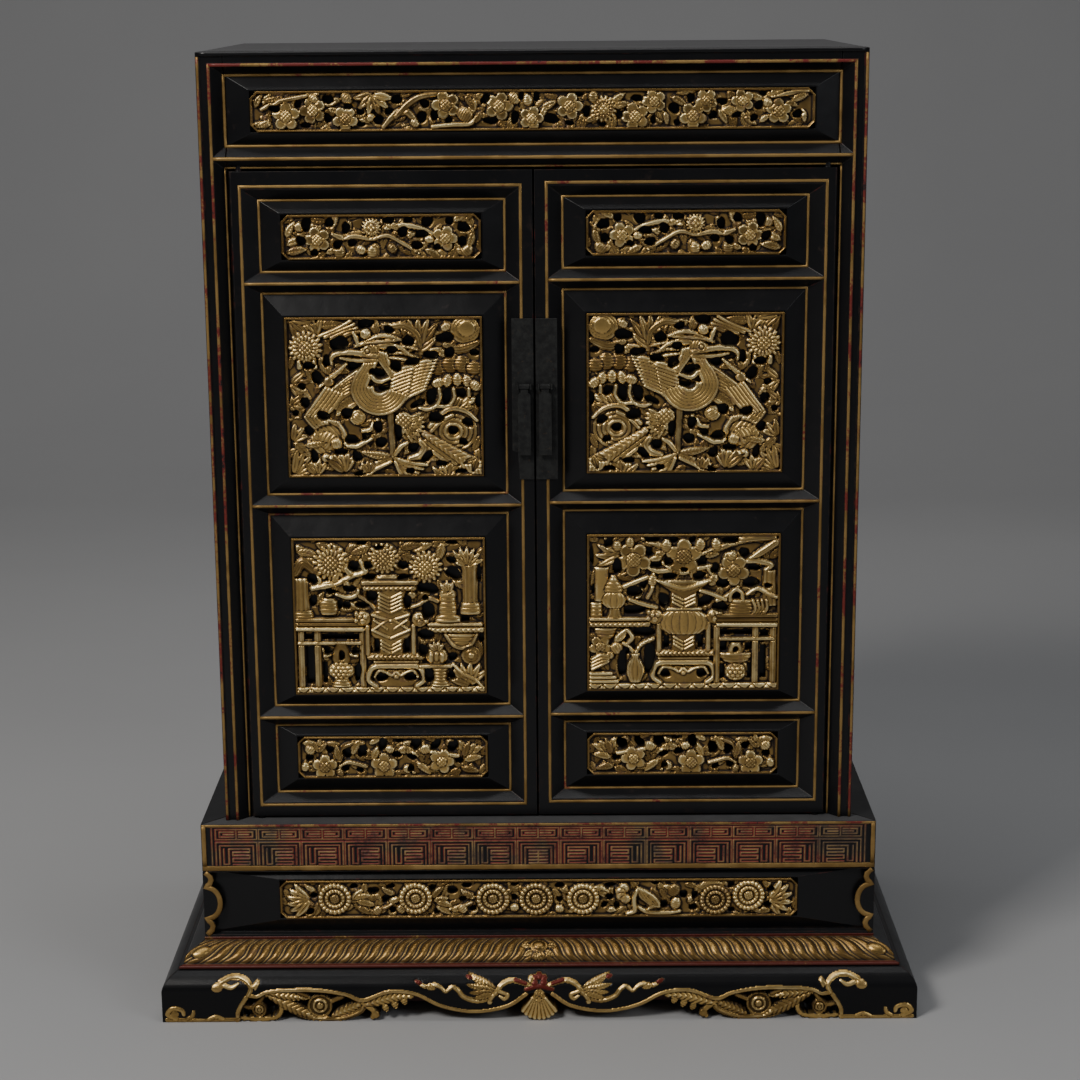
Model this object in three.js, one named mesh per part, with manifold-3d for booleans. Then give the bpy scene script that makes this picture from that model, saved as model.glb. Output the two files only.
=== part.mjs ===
// A household shrine: a black lacquered cabinet on a moulded base. Two doors turn on pins and are set with
// openwork carvings in gilt wood. X runs to the right, Y to the back and Z up; the origin is on the floor,
// in the middle of the base. All sizes are in millimetres.

import * as THREE from 'three';
import { ConvexGeometry } from 'three/addons/geometries/ConvexGeometry.js';
import { mergeVertices } from 'three/addons/utils/BufferGeometryUtils.js';
import Module from 'manifold-3d';

const wasm = await Module();
wasm.setup();

// ---- Driving dimensions ----
const GAP = 0.3;                // between pieces that touch
const TOP = 642.4;              // floor to the top of the cabinet
const HALF_WIDTH = 212;         // half the cabinet's width
const FRONT = -97.5;            // plane of the cabinet's front beads
const CABINET_BACK = 127.5;
const WALL = 12;                // side panels, floor and top board
const BACK_THICK = 10;

const BASE_TOP = 131.5;
const BAND_HALF = 228.2;        // half the width of the fret band
const BAND_FRONT = FRONT - 8;   // front face of the fret band
const BASE_BACK = 133.4;
const FOOT_OUT = 27;            // how far the foot stands out from the fret band
const BAND_BOTTOM = 98;
const WAIST_BOTTOM = 52;
const GADROON_BOTTOM = 35.5;
const APRON_TOP = 33.5;

// Front frame, measured in from the cabinet's outer edges
const FRAME_THICK = 18;
const OUTER_BEAD = 2.6;         // width of the bead on the outer edge
const RIDGE_IN = 7.2;           // outer side of the ridge bead
const SLOPE_START = 9;          // where the frame starts to fall towards the openings
const SLOPE_END = 15.7;
const SLOPE_DEPTH = 7;
const OPENING_HALF = 195.2;     // half the width of the door opening
const LINTEL_LINE = 568.7;      // top of the door opening
const LINTEL_RIDGE = 575.5;
const FRIEZE_BOTTOM = 582.3;
const FRIEZE_TOP = 628.2;

// Doors
const DOOR_INNER = 0.5;         // half the gap between the two doors
const DOOR_OUTER = 194.5;
const DOOR_BOTTOM = 133;
const DOOR_TOP = 567.4;
const DOOR_FACE = 4;            // depth of the door's face behind the front plane
const DOOR_BACK = 18;
const RIDGE_LEFT = 9.3;         // the door's bevelled field, from the meeting edge
const RIDGE_RIGHT = 186.6;
const PANEL_LEFT = 18.3;
const PANEL_RIGHT = 176.8;
const PANEL_DEPTH = 10.8;
const RIDGE_FLAT = 1;           // half the flat on a rail's ridge
const DOOR_RIDGES = [141.8, 202.9, 348.6, 495.4, 556.9];
const DOOR_PANELS = [[147.9, 196.1], [209.4, 342.3], [355, 488.8], [502, 548.6]];
const RIGHT_LIFT = 1.4;         // the right door's lines sit this much higher than the left's
const PIN_X = 188;
const PIN_DEPTH = 7;
const PIN_RADIUS = 2.5;
const PIN_LENGTH = 6;
const PIN_HOLE = PIN_RADIUS + 0.4;
const SWING_ROOM = 2.4;         // behind the doors, for the corner next to the pins

// Carvings: width, height and the place of the lower left corner, on the left door
const CARVING_LEFT = -161.8;
const CARVING_WIDTH = 128;
const CARVING_THICK = 10;
const CARVING_FACE = 0.7;       // depth of the highest carving behind the front plane
const CARVING_Z = { bottom: 160, vase: 219.4, bird: 368.3, top: 511 };
const CARVING_HEIGHT = { bottom: 29, vase: 107.2, bird: 105.2, top: 28.5 };
const SEAT = 6;                 // depth of the pocket that holds a carving
const FIELD_RISE = 5.8;         // how far a panel's field rises to its carving
const GROUND = 5.5;             // the openwork board behind the carved figures

const FRIEZE_CARVING = { left: -178.5, bottom: 592.3, width: 357, height: 25.2 };
const WAIST_CARVING = { left: -175.8, bottom: 63.4, width: 351.6, height: 27 };

// ---- Materials ----
const lacquer = { color: 0x17171a, roughness: 0.35, metalness: 0 };
const gilt = { color: 0xb0935a, roughness: 0.45, metalness: 0.6 };
const red = { color: 0x7c2a20, roughness: 0.5, metalness: 0.1 };
const iron = { color: 0x4a4a4a, roughness: 0.7, metalness: 0.7 };

// ---- Joining and cutting ----
function solid(geometry) {
  const bare = geometry.clone();
  bare.deleteAttribute('normal');
  bare.deleteAttribute('uv');
  const merged = mergeVertices(bare);
  return new wasm.Manifold(new wasm.Mesh({
    numProp: 3,
    vertProperties: new Float32Array(merged.attributes.position.array),
    triVerts: new Uint32Array(merged.index.array),
  }));
}

function union(solids) {
  return solids.reduce((sum, next) => sum.add(next));
}

function cut(body, tools) {
  return tools.reduce((rest, tool) => rest.subtract(tool), body);
}

function surface(body) {
  const mesh = body.getMesh();
  const geometry = new THREE.BufferGeometry();
  geometry.setAttribute('position', new THREE.BufferAttribute(new Float32Array(mesh.vertProperties), 3));
  geometry.setIndex(new THREE.BufferAttribute(new Uint32Array(mesh.triVerts), 1));
  geometry.computeVertexNormals();
  return geometry;
}

// The same surface seen in a mirror that stands at u = width / 2
function mirrored(geometry, width) {
  const flipped = geometry.clone();
  flipped.applyMatrix4(new THREE.Matrix4().makeScale(-1, 1, 1));
  flipped.translate(width, 0, 0);
  const index = flipped.index.array;
  for (let i = 0; i < index.length; i += 3) {
    [index[i + 1], index[i + 2]] = [index[i + 2], index[i + 1]];
  }
  flipped.computeVertexNormals();
  return flipped;
}

// ---- Plain solids ----
function block(x0, x1, y0, y1, z0, z1) {
  const box = new THREE.BoxGeometry(x1 - x0, y1 - y0, z1 - z0);
  box.translate((x0 + x1) / 2, (y0 + y1) / 2, (z0 + z1) / 2);
  return solid(box);
}

function hull(points) {
  return solid(new ConvexGeometry(points.map((point) => new THREE.Vector3(...point))));
}

function outline(points) {
  return new THREE.Shape(points.map(([a, b]) => new THREE.Vector2(a, b)));
}

function extrude(shape, depth, curveSegments = 4) {
  return new THREE.ExtrudeGeometry(shape, { depth, bevelEnabled: false, curveSegments });
}

// An outline drawn in plan (x, y), raised from z0 to z1
function raised(points, z0, z1) {
  return solid(extrude(outline(points), z1 - z0).translate(0, 0, z0));
}

// An outline drawn on the front (x, z), from y0 back to y1
function frontPlate(shape, y0, y1) {
  return solid(extrude(shape, y1 - y0).rotateX(Math.PI / 2).translate(0, y1, 0));
}

function upright(x, y, radius, z0, z1, sides = 10) {
  const pin = new THREE.CylinderGeometry(radius, radius, z1 - z0, sides);
  return solid(pin.rotateX(Math.PI / 2).translate(x, y, (z0 + z1) / 2));
}

const depth = (d) => FRONT + d;

// A rectangle on the front: { x0, x1, z0, z1 }
const rect = (x0, x1, z0, z1) => ({ x0, x1, z0, z1 });
const inset = (r, by) => rect(r.x0 + by, r.x1 - by, r.z0 + by, r.z1 - by);

// Four-sided taper between rectangle a at depth da and rectangle b at depth db
function taper(a, da, b, db) {
  const corners = (r, d) => [[r.x0, r.z0], [r.x1, r.z0], [r.x1, r.z1], [r.x0, r.z1]]
    .map(([x, z]) => [x, depth(d), z]);
  return hull([...corners(a, da), ...corners(b, db)]);
}

// A recess that slopes from rectangle `outer` on the face down to `inner`, then goes right through
function opening(outer, face, inner, floor, back) {
  const over = 1 / (floor - face);
  const grow = rect(
    outer.x0 - (inner.x0 - outer.x0) * over, outer.x1 + (outer.x1 - inner.x1) * over,
    outer.z0 - (inner.z0 - outer.z0) * over, outer.z1 + (outer.z1 - inner.z1) * over);
  const through = block(inner.x0, inner.x1, depth(floor - 1), depth(back + 1), inner.z0, inner.z1);
  return taper(grow, face - 1, inner, floor).add(through);
}

// ---- Carved motifs, in a board's own frame: u to the right, v up, w out of the board ----
const ROOT = GROUND - 0.5;      // motifs are let into the board this deep
const turn = Math.PI / 180;

// A closed surface from its corner points and faces; the faces may wind either way, but all alike
function shell(points, faces) {
  const corners = faces.flatMap(([a, b, c]) => [points[a], points[b], points[c]]);
  let volume = 0;
  for (let i = 0; i < corners.length; i += 3) {
    const [p, q, r] = corners.slice(i, i + 3).map((corner) => new THREE.Vector3(...corner));
    volume += p.dot(q.cross(r));
  }
  const order = volume < 0 ? [0, 2, 1] : [0, 1, 2];
  const ordered = faces.flatMap((face) => order.flatMap((k) => points[face[k]]));
  const geometry = new THREE.BufferGeometry();
  geometry.setAttribute('position', new THREE.BufferAttribute(new Float32Array(ordered), 3));
  return solid(geometry);
}

// A skin over a row of sections with equal numbers of corners, closed at both ends
function loft(sections) {
  const size = sections[0].length;
  const faces = [];
  for (let i = 0; i + 1 < sections.length; i += 1) {
    for (let j = 0; j < size; j += 1) {
      const next = (j + 1) % size;
      faces.push([i * size + j, i * size + next, (i + 1) * size + j]);
      faces.push([i * size + next, (i + 1) * size + next, (i + 1) * size + j]);
    }
  }
  const last = (sections.length - 1) * size;
  for (let j = 1; j + 1 < size; j += 1) {
    faces.push([0, j + 1, j], [last, last + j, last + j + 1]);
  }
  return shell(sections.flat(), faces);
}

const around = (angle, across, high) => [across * Math.cos(angle * turn), high * Math.sin(angle * turn)];

// A leaf or short feather: four corners round a ridge
function leaf(u, v, angle, length, width, height) {
  const at = (along, side, w) => {
    const [c, s] = around(angle, 1, 1);
    return [u + along * c - side * s, v + along * s + side * c, w];
  };
  const ridge = length > 22 ? [at(length * 0.1, 0, GROUND + height * 0.8), at(length * 0.8, 0, GROUND + height)]
    : [at(length * 0.4, 0, GROUND + height)];
  return hull([at(-1, 0, ROOT), at(length, 0, ROOT), at(length * 0.5, width / 2, ROOT),
    at(length * 0.5, -width / 2, ROOT), ...ridge]);
}

function dome(u, v, across, high, height, sides = 6) {
  const ring = (scale, w) => Array.from({ length: sides }, (_, i) => {
    const [du, dv] = around((i + 0.5) * 360 / sides, across * scale, high * scale);
    return [u + du, v + dv, w];
  });
  const crown = Math.min(across, high) > 4.5 ? ring(0.5, GROUND + height) : [[u, v, GROUND + height]];
  return hull([...ring(1.08, ROOT), ...crown]);
}

// Rounded petals about a sunk centre
function flower(u, v, radius, petals, height) {
  const points = [[u, v, ROOT], [u, v, GROUND + height * 0.45]];
  const faces = [];
  for (let i = 0; i < petals; i += 1) {
    const angle = 90 + i * 360 / petals;
    const point = (by, reach, w) => {
      const [du, dv] = around(angle + by * 360 / petals, reach * radius, reach * radius);
      return [u + du, v + dv, w];
    };
    points.push(point(0, 1.06, ROOT), point(0.5, 0.84, ROOT), point(0, 0.62, GROUND + height));
    const [tip, notch, crown] = [2 + 3 * i, 3 + 3 * i, 4 + 3 * i];
    const [nextTip, nextCrown] = [2, 4].map((k) => k + 3 * ((i + 1) % petals));
    faces.push([0, notch, tip], [0, nextTip, notch], [tip, notch, crown], [notch, nextTip, nextCrown],
      [notch, nextCrown, crown], [1, crown, nextCrown]);
  }
  return shell(points, faces);
}

// Leaves or feathers spread between two angles, from one point
function fan(u, v, from, to, count, length, width, height) {
  return union(Array.from({ length: count }, (_, i) => {
    return leaf(u, v, from + (to - from) * i / (count - 1), length, width, height);
  }));
}

// Feathers side by side: the root moves along `step` from one to the next
function feathers(u, v, step, count, angle, length, width, height) {
  return union(Array.from({ length: count }, (_, i) => {
    return leaf(u + step[0] * i, v + step[1] * i, angle, length, width, height);
  }));
}

// A ribbon through points [u, v, half width]
function ribbon(points, height) {
  return loft(points.map(([u, v, half], i) => {
    const before = points[Math.max(i - 1, 0)];
    const after = points[Math.min(i + 1, points.length - 1)];
    const size = Math.hypot(after[0] - before[0], after[1] - before[1]);
    const [nu, nv] = [(before[1] - after[1]) / size, (after[0] - before[0]) / size];
    const edge = (side) => [u + side * nu * half, v + side * nv * half, ROOT];
    return [edge(1), [u, v, GROUND + height], edge(-1)];
  }));
}

// Half of a turned vessel: [v, radius] up its side
function vessel(u, profile, height) {
  const widest = Math.max(...profile.map(([, radius]) => radius));
  return loft(profile.map(([v, radius]) => {
    const top = GROUND + height * (0.6 + 0.4 * radius / widest);
    const at = (across, w) => [u + across * radius, v, w];
    return [at(-1, ROOT), at(-0.5, top), at(0.5, top), at(1, ROOT)];
  }));
}

function slab(u0, u1, v0, v1, height) {
  return block(u0, u1, v0, v1, ROOT, GROUND + height);
}

function eyelet([u, v, across, high]) {
  const hole = new THREE.CylinderGeometry(1, 1, 2 * CARVING_THICK, 4).rotateX(Math.PI / 2).rotateZ(0.5);
  return solid(hole.scale(across * 1.1, high * 1.1, 1).translate(u, v, 0));
}

const slot = (u0, u1, v0, v1) => block(u0, u1, v0, v1, -1, GROUND + 1);

// A board with chamfered corners, pierced and then carved
function carving({ width, height, corner, holes, motifs }) {
  const c = corner;
  const edge = [[c, 0], [width - c, 0], [width, c], [width, height - c], [width - c, height], [c, height],
    [0, height - c], [0, c]];
  const ground = cut(raised(edge, 0, GROUND), holes.map(eyelet));
  return union([ground, ...motifs]).intersect(raised(edge, 0, CARVING_THICK));
}

// ---- The carvings ----
function birdCarving() {
  const holes = [[35, 88, 5.8, 5], [79, 91, 4, 4], [94, 79, 4.6, 3.6], [19, 65, 4, 4.4], [42, 75, 3.8, 4],
    [23, 42, 4.6, 4.4], [60, 23, 3.4, 4.4], [89, 14, 5, 3.6], [98, 40, 5.2, 4], [16, 12, 3.4, 4.4]];
  const motifs = [
    flower(13, 85, 11, 8, 3),
    ribbon([[62, 84, 3], [52, 70, 7], [51, 54, 10], [68, 42, 8]], 4.2),  // neck and breast
    dome(58, 82, 7, 5, 4.3), leaf(57, 81, 188, 30, 7, 3.8),            // head and beak
    leaf(66, 91, 175, 32, 6, 3), leaf(58, 89, 5, 22, 6, 3),            // crest
    leaf(70, 85, 60, 19, 8, 2.6), leaf(72, 84, 100, 18, 8, 2.6),
    feathers(64, 66, [0.6, -6], 4, 14, 31, 6, 4),                     // right wing
    feathers(45, 68, [-4, -6], 2, 128, 20, 7, 3.6),                   // left wing
    feathers(49, 57, [-6, -3.4], 3, 236, 27, 7, 3.4),
    flower(107, 66, 12, 5, 3),                                        // peony
    dome(119, 96, 7, 6, 3),
    ribbon([[66, 40, 2.4], [66, 14, 2]], 3.4),                        // leg
    fan(66, 13, 200, 340, 4, 23, 9, 3),                               // leaves under the foot
    flower(81, 31, 10, 6, 3.6),
    feathers(88, 28, [6, -3.6], 3, -34, 23, 7, 3.4),                   // tail
    ribbon([[96, 30, 2.4], [108, 41, 2.4], [118, 28, 2]], 3),
    flower(23, 25, 9, 6, 3),
  ];
  return carving({ width: CARVING_WIDTH, height: CARVING_HEIGHT.bird, corner: 0.6, holes, motifs });
}

// A side table seen from the front, with its lower stretcher, and a pot standing under it
function table(u0, u1, legs, potU) {
  return [
    slab(u0, u1, 44, 54, 3.4), slab(u0 + 2, u1 - 2, 33, 38.5, 2.6),
    ...legs.map((u) => slab(u, u + 5, 6, 46, 3)), vessel(potU, [[7, 5], [16, 9], [25, 5]], 3.4),
  ];
}

// The vase's stand: a slab, a neck and a low bench with bowed feet
function stand(u, half) {
  return [slab(u - half, u + half, 20.5, 27, 3.6), vessel(u, [[5, half], [13, half], [19, half * 0.86]], 3.6)];
}

const footStrip = slab(2, CARVING_WIDTH - 2, 1.8, 6.5, 3.4);

function leftVaseCarving() {
  const holes = [[41, 86, 4, 4], [74, 84, 5, 3], [92, 72, 6, 4], [49, 64, 5.4, 5], [80, 63, 4.6, 5],
    [90, 40, 5, 3.4], [91, 16, 4, 6]];
  const slots = [slot(7.5, 13, 8, 31), slot(52.5, 57, 28, 38), slot(74, 78.5, 28, 38)];
  const motifs = [
    flower(27, 89, 11, 8, 3.4), flower(60, 92, 9.5, 8, 3.4), flower(88, 88, 10, 8, 3.4),
    fan(116, 96, 180, 300, 2, 13, 8, 3), leaf(8, 98, 290, 19, 9, 2.6), fan(20, 75, 190, 330, 2, 14, 6, 3),
    vessel(64.5, [[27, 7.5], [39, 8], [47, 12.5], [56, 12.5], [59, 8.5], [70, 9], [76, 18], [79, 18]], 4.2),
    dome(46, 51, 5, 5.4, 3.4), dome(85, 51, 5, 5.4, 3.4), slab(42.5, 48, 27, 49, 3), slab(80, 84.5, 27, 49, 3),
    ...stand(66.5, 18), ...table(2, 43, [2, 14, 38.5], 29),
    vessel(7.6, [[54, 5.4], [72, 5.6]], 3.4), vessel(24, [[54, 5], [60, 6], [66, 4.6]], 3.4),
    vessel(103, [[48, 11], [53, 8], [70, 3]], 3.6), vessel(118, [[53, 7], [60, 6], [88, 7]], 3.4),
    slab(92, 126, 40, 47, 3.6), vessel(110, [[27, 6], [40, 15]], 3.2), dome(97, 25, 7, 6, 3.8),
    vessel(97, [[6, 7], [12, 4.6], [19, 6]], 3.4), leaf(122, 8, 115, 20, 10, 3), footStrip,
  ];
  const body = carving({
    width: CARVING_WIDTH, height: CARVING_HEIGHT.vase, corner: 0.6, holes, motifs });
  return cut(body, slots);
}

function rightVaseCarving() {
  const holes = [[48, 100, 5, 2.6], [50, 84, 4, 2.8], [82, 86, 4, 3], [110, 82, 5, 3.6], [100, 71, 6, 3.2],
    [34, 67, 6, 4], [81, 63, 6, 4], [38, 38, 6, 4.4], [45, 20, 3.4, 9]];
  const slots = [slot(50.5, 55, 30, 38), slot(73, 78, 30, 38), slot(116, 120, 8, 31)];
  const motifs = [
    flower(30.5, 91, 10, 5, 3.4), flower(65, 91, 9.4, 5, 3.4), flower(98, 81, 9.4, 5, 3.4),
    leaf(110, 94, 10, 17, 7, 2.8), leaf(8, 94, 40, 13, 7, 2.8),
    ribbon([[32, 74, 2], [48, 81, 2.4], [76, 84, 2.4], [108, 99, 2.4]], 3),
    vessel(64.5, [[29, 8], [38, 8], [40, 14], [44, 17.5], [51, 17.5], [58, 9], [68, 8], [74, 17], [77, 17]],
      4.2),
    dome(45, 51, 5, 5, 3.4), dome(84, 51, 5, 5, 3.4), slab(46, 50.5, 27, 48, 3), slab(78, 83, 27, 48, 3),
    ...stand(64.5, 19),
    slab(88, 126, 42, 50, 3.8), slab(88, 120, 30, 35, 2.6), slab(110, 115.5, 6, 43, 3),
    slab(121, 126, 6, 43, 3),
    vessel(99, [[7, 5], [14, 8], [20, 5], [22, 6], [28, 9]], 3.4),
    slab(94, 107, 51, 62, 3.4), ribbon([[95, 61, 1.6], [100, 69, 1.8], [105, 61, 1.6]], 3.4),
    leaf(124, 53, 125, 18, 9, 3),
    vessel(10, [[62, 5], [84, 6.4]], 3.2), vessel(17, [[49, 7], [53, 5], [60, 10], [68, 5]], 4),
    slab(3, 34, 43, 49, 3.6), vessel(14, [[30, 8], [42, 12]], 3), flower(13, 25, 9, 5, 3),
    vessel(32, [[7, 4], [14, 6.6], [25, 3], [30, 4]], 3.8),
    ribbon([[33, 30, 1.4], [38, 36, 1.8], [46, 39, 1.8]], 3),
    slab(3, 20, 6, 12, 3.4), footStrip,
  ];
  const body = carving({
    width: CARVING_WIDTH, height: CARVING_HEIGHT.vase, corner: 0.6, holes, motifs });
  return cut(body, slots);
}

// Blossoms and leaves in a long low board. `places` holds [u, v, radius, petals]
function spray({ width, height, places, leaves, gaps }) {
  const holes = gaps.map(([u, v]) => [u, v, 3.4, 2.8]);
  const motifs = [
    ...places.map(([u, v, radius, petals]) => flower(u, v, radius, petals, 3)),
    ...leaves.map(([u, v, angle]) => leaf(u, v, angle, 13, 6, 2.4)),
  ];
  return carving({ width, height, corner: 2.4, holes, motifs });
}

function topCarving() {
  return spray({
    width: CARVING_WIDTH, height: CARVING_HEIGHT.top,
    places: [[23, 13, 9, 5], [106, 13, 9, 5], [45, 18, 6, 5], [64, 9, 7, 5], [85, 18, 6, 5]],
    leaves: [[13, 22, 190], [13, 6, 170], [115, 22, -10], [115, 6, 10], [52, 22, 20]],
    gaps: [[35, 20], [54, 13], [94, 8]],
  });
}

function bottomCarving() {
  return spray({
    width: CARVING_WIDTH, height: CARVING_HEIGHT.bottom,
    places: [[19, 10, 9, 5], [59, 10, 9, 5], [99, 10, 9, 5], [39, 17, 7, 5], [79, 17, 7, 5]],
    leaves: [[10, 22, 140], [50, 22, 160], [68, 22, 30], [114, 20, 20], [113, 7, -10]],
    gaps: [[29, 8], [69, 8], [110, 20]],
  });
}

function friezeCarving() {
  const blossoms = 16;
  const pitch = (FRIEZE_CARVING.width - 40) / (blossoms - 1);
  const high = (i) => i % 2 === 1;
  const places = Array.from({ length: blossoms }, (_, i) => [20 + i * pitch, high(i) ? 9.6 : 15.6, 8.4, 5]);
  const gaps = Array.from({ length: blossoms / 2 }, (_, i) => [20 + (2 * i + 0.6) * pitch, 4.6]);
  return spray({ ...FRIEZE_CARVING, places, leaves: [[14, 12, 180], [343, 12, 0]], gaps });
}

function waistCarving() {
  const centres = [51, 107, 162, 189, 218, 309, 332];
  const places = centres.map((u) => [u, 13, 10.4, 8]);
  const leaves = [[16, 19, 190], [16, 8, 170], [27, 18, 30], [66, 20, 20], [66, 7, -10], [88, 19, 20],
    [124, 8, 0], [236, 20, 0], [284, 20, 20], [343, 13, 0]];
  const gaps = [[34, 13], [84, 13], [139, 14], [238, 12], [274, 15], [292, 10]];
  const bird = ribbon([[246, 6, 2], [250, 19, 4], [262, 22, 3], [268, 12, 3], [256, 6, 2]], 3.4);
  return spray({ ...WAIST_CARVING, places, leaves, gaps }).add(bird);
}

// ---- The cabinet ----
const frieze = rect(-HALF_WIDTH + SLOPE_END, HALF_WIDTH - SLOPE_END, FRIEZE_BOTTOM, FRIEZE_TOP);

function frontFrame() {
  const foot = BASE_TOP + GAP;
  const head = TOP - GAP;
  const ridge = HALF_WIDTH - SLOPE_START;
  const inner = HALF_WIDTH - SLOPE_END;
  const board = block(-HALF_WIDTH, HALF_WIDTH, depth(0), depth(FRAME_THICK), foot, head);
  const outside = rect(-HALF_WIDTH + OUTER_BEAD, HALF_WIDTH - OUTER_BEAD, foot - 5, head - OUTER_BEAD);
  const inside = rect(-HALF_WIDTH + RIDGE_IN, HALF_WIDTH - RIDGE_IN, foot - 6, head - RIDGE_IN);
  const groove = taper(outside, -1, outside, 1).subtract(taper(inside, -2, inside, 2));
  const above = opening(
    rect(-ridge, ridge, LINTEL_RIDGE + RIDGE_FLAT, TOP - SLOPE_START), 0, frieze, SLOPE_DEPTH, FRAME_THICK);
  const below = opening(
    rect(-ridge, ridge, foot - 20, LINTEL_RIDGE - RIDGE_FLAT), 0,
    rect(-inner, inner, foot - 20, LINTEL_LINE), SLOPE_DEPTH, SLOPE_DEPTH);
  const doorway = block(
    -OPENING_HALF, OPENING_HALF, depth(SLOPE_DEPTH - 1), depth(FRAME_THICK + 1), foot - 20, LINTEL_LINE);
  return cut(board, [groove, above, below, doorway]);
}

function frameMembers() {
  const whole = frontFrame();
  const part = (x0, x1, z0, z1) => {
    return whole.intersect(block(x0, x1, depth(-1), depth(FRAME_THICK + 1), z0, z1));
  };
  const rail = OPENING_HALF - GAP;
  const pinHoles = [-PIN_X, PIN_X].map((x) => {
    return upright(x, depth(PIN_DEPTH), PIN_HOLE, DOOR_TOP - 1, DOOR_TOP + PIN_LENGTH + 0.8);
  });
  return {
    post_left: part(-HALF_WIDTH, -OPENING_HALF, 0, TOP),
    post_right: part(OPENING_HALF, HALF_WIDTH, 0, TOP),
    lintel_rail: cut(part(-rail, rail, LINTEL_LINE - 2, (FRIEZE_BOTTOM + FRIEZE_TOP) / 2), pinHoles),
    top_rail: part(-rail, rail, (FRIEZE_BOTTOM + FRIEZE_TOP) / 2, TOP),
  };
}

// A raised and fielded panel with a pocket for its carving
function fieldedPanel(hole, seat, edgeDepth, backDepth) {
  const board = inset(hole, GAP);
  const tongue = block(board.x0, board.x1, depth(edgeDepth), depth(backDepth), board.z0, board.z1);
  const field = taper(board, edgeDepth + 0.5, inset(seat, -1.2), edgeDepth - FIELD_RISE);
  const pocket = inset(seat, -GAP);
  const seatDepth = edgeDepth - FIELD_RISE + SEAT;
  const room = block(pocket.x0, pocket.x1, depth(-5), depth(seatDepth), pocket.z0, pocket.z1);
  return tongue.add(field).subtract(room);
}

const seatOf = ({ left, bottom, width, height }) => rect(left, left + width, bottom, bottom + height);

// A top board with its side edges rounded over
function topBoard() {
  const round = 3;
  const section = new THREE.Shape();
  section.moveTo(-HALF_WIDTH, TOP - WALL);
  section.lineTo(HALF_WIDTH, TOP - WALL);
  section.lineTo(HALF_WIDTH, TOP - round);
  section.absarc(HALF_WIDTH - round, TOP - round, round, 0, Math.PI / 2, false);
  section.lineTo(-HALF_WIDTH + round, TOP);
  section.absarc(-HALF_WIDTH + round, TOP - round, round, Math.PI / 2, Math.PI, false);
  return frontPlate(section, depth(FRAME_THICK + GAP), CABINET_BACK);
}

function cabinet() {
  const inside = depth(FRAME_THICK + GAP);
  const foot = BASE_TOP + GAP;
  const head = TOP - WALL - GAP;
  const wall = HALF_WIDTH - WALL;
  const panel = fieldedPanel(frieze, seatOf(FRIEZE_CARVING), SLOPE_DEPTH + 0.5, FRAME_THICK);
  return {
    top_board: topBoard(),
    side_panel_left: block(-HALF_WIDTH, -wall, inside, CABINET_BACK, foot, head),
    side_panel_right: block(wall, HALF_WIDTH, inside, CABINET_BACK, foot, head),
    back_panel: block(-wall + GAP, wall - GAP, CABINET_BACK - BACK_THICK, CABINET_BACK, foot, head),
    floor_board: block(
      -wall + GAP, wall - GAP, inside + SWING_ROOM, CABINET_BACK - BACK_THICK - GAP, foot, foot + WALL),
    ...frameMembers(),
    frieze_panel: panel,
  };
}

// ---- The base ----
// Its mouldings run round three sides. `section` lists [out, z], with `out` measured from the fret band's face.
const INWARD = 20;

// Plan of the front pieces, cut to 45 degrees at both ends
const MITRE_OUT = 40;
const MITRE_IN = 30;

function frontMitre() {
  const [wide, narrow] = [BAND_HALF + MITRE_OUT, BAND_HALF - MITRE_IN];
  const [near, far] = [BAND_FRONT - MITRE_OUT, BAND_FRONT + MITRE_IN];
  return raised([[-wide, near], [wide, near], [narrow, far], [-narrow, far]], -1, BASE_TOP + 1);
}

function frontMoulding(section) {
  const reach = BAND_HALF + MITRE_OUT;
  const lengthwise = new THREE.Matrix4().makeBasis(
    new THREE.Vector3(0, 1, 0), new THREE.Vector3(0, 0, 1), new THREE.Vector3(1, 0, 0));
  const bar = extrude(outline(section.map(([out, z]) => [-out, z])), 2 * reach);
  return solid(bar.applyMatrix4(lengthwise).translate(-reach, BAND_FRONT, 0)).intersect(frontMitre());
}

function sideMouldings(section) {
  const bar = solid(extrude(outline(section), 400).rotateX(Math.PI / 2).translate(BAND_HALF, BASE_BACK, 0));
  const right = bar.intersect(raised([[BAND_HALF + MITRE_OUT, BAND_FRONT - MITRE_OUT + GAP],
    [BAND_HALF + MITRE_OUT, BASE_BACK], [BAND_HALF - MITRE_IN, BASE_BACK],
    [BAND_HALF - MITRE_IN, BAND_FRONT + MITRE_IN + GAP]], -1, BASE_TOP + 1));
  return { right, left: solid(mirrored(surface(right), 0)) };
}

// The fret band: its front is sunk inside a narrow border
const FRET_RELIEF = 0.8;

function fretBand() {
  const [low, high] = [BAND_BOTTOM, BASE_TOP];
  const section = (face) => [[-INWARD, low], [face, low], [face, high], [-INWARD, high]];
  const board = frontMoulding(section(-FRET_RELIEF));
  const border = rect(-BAND_HALF, BAND_HALF, BAND_BOTTOM, BASE_TOP);
  const open = rect(border.x0 + 3.4, border.x1 - 3.4, border.z0 + 3.6, border.z1 - 1.6);
  const ledge = BAND_FRONT - FRONT;
  const rim = taper(border, ledge, border, ledge + 1).subtract(taper(open, ledge - 1, open, ledge + 2));
  const pinHoles = [-PIN_X, PIN_X].map((x) => {
    return upright(x, depth(PIN_DEPTH), PIN_HOLE, DOOR_BOTTOM - PIN_LENGTH - 0.8, BASE_TOP + 1);
  });
  const front = cut(board.add(rim).intersect(frontMitre()), pinHoles);
  return { front, ...sideMouldings(section(0)) };
}

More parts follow.
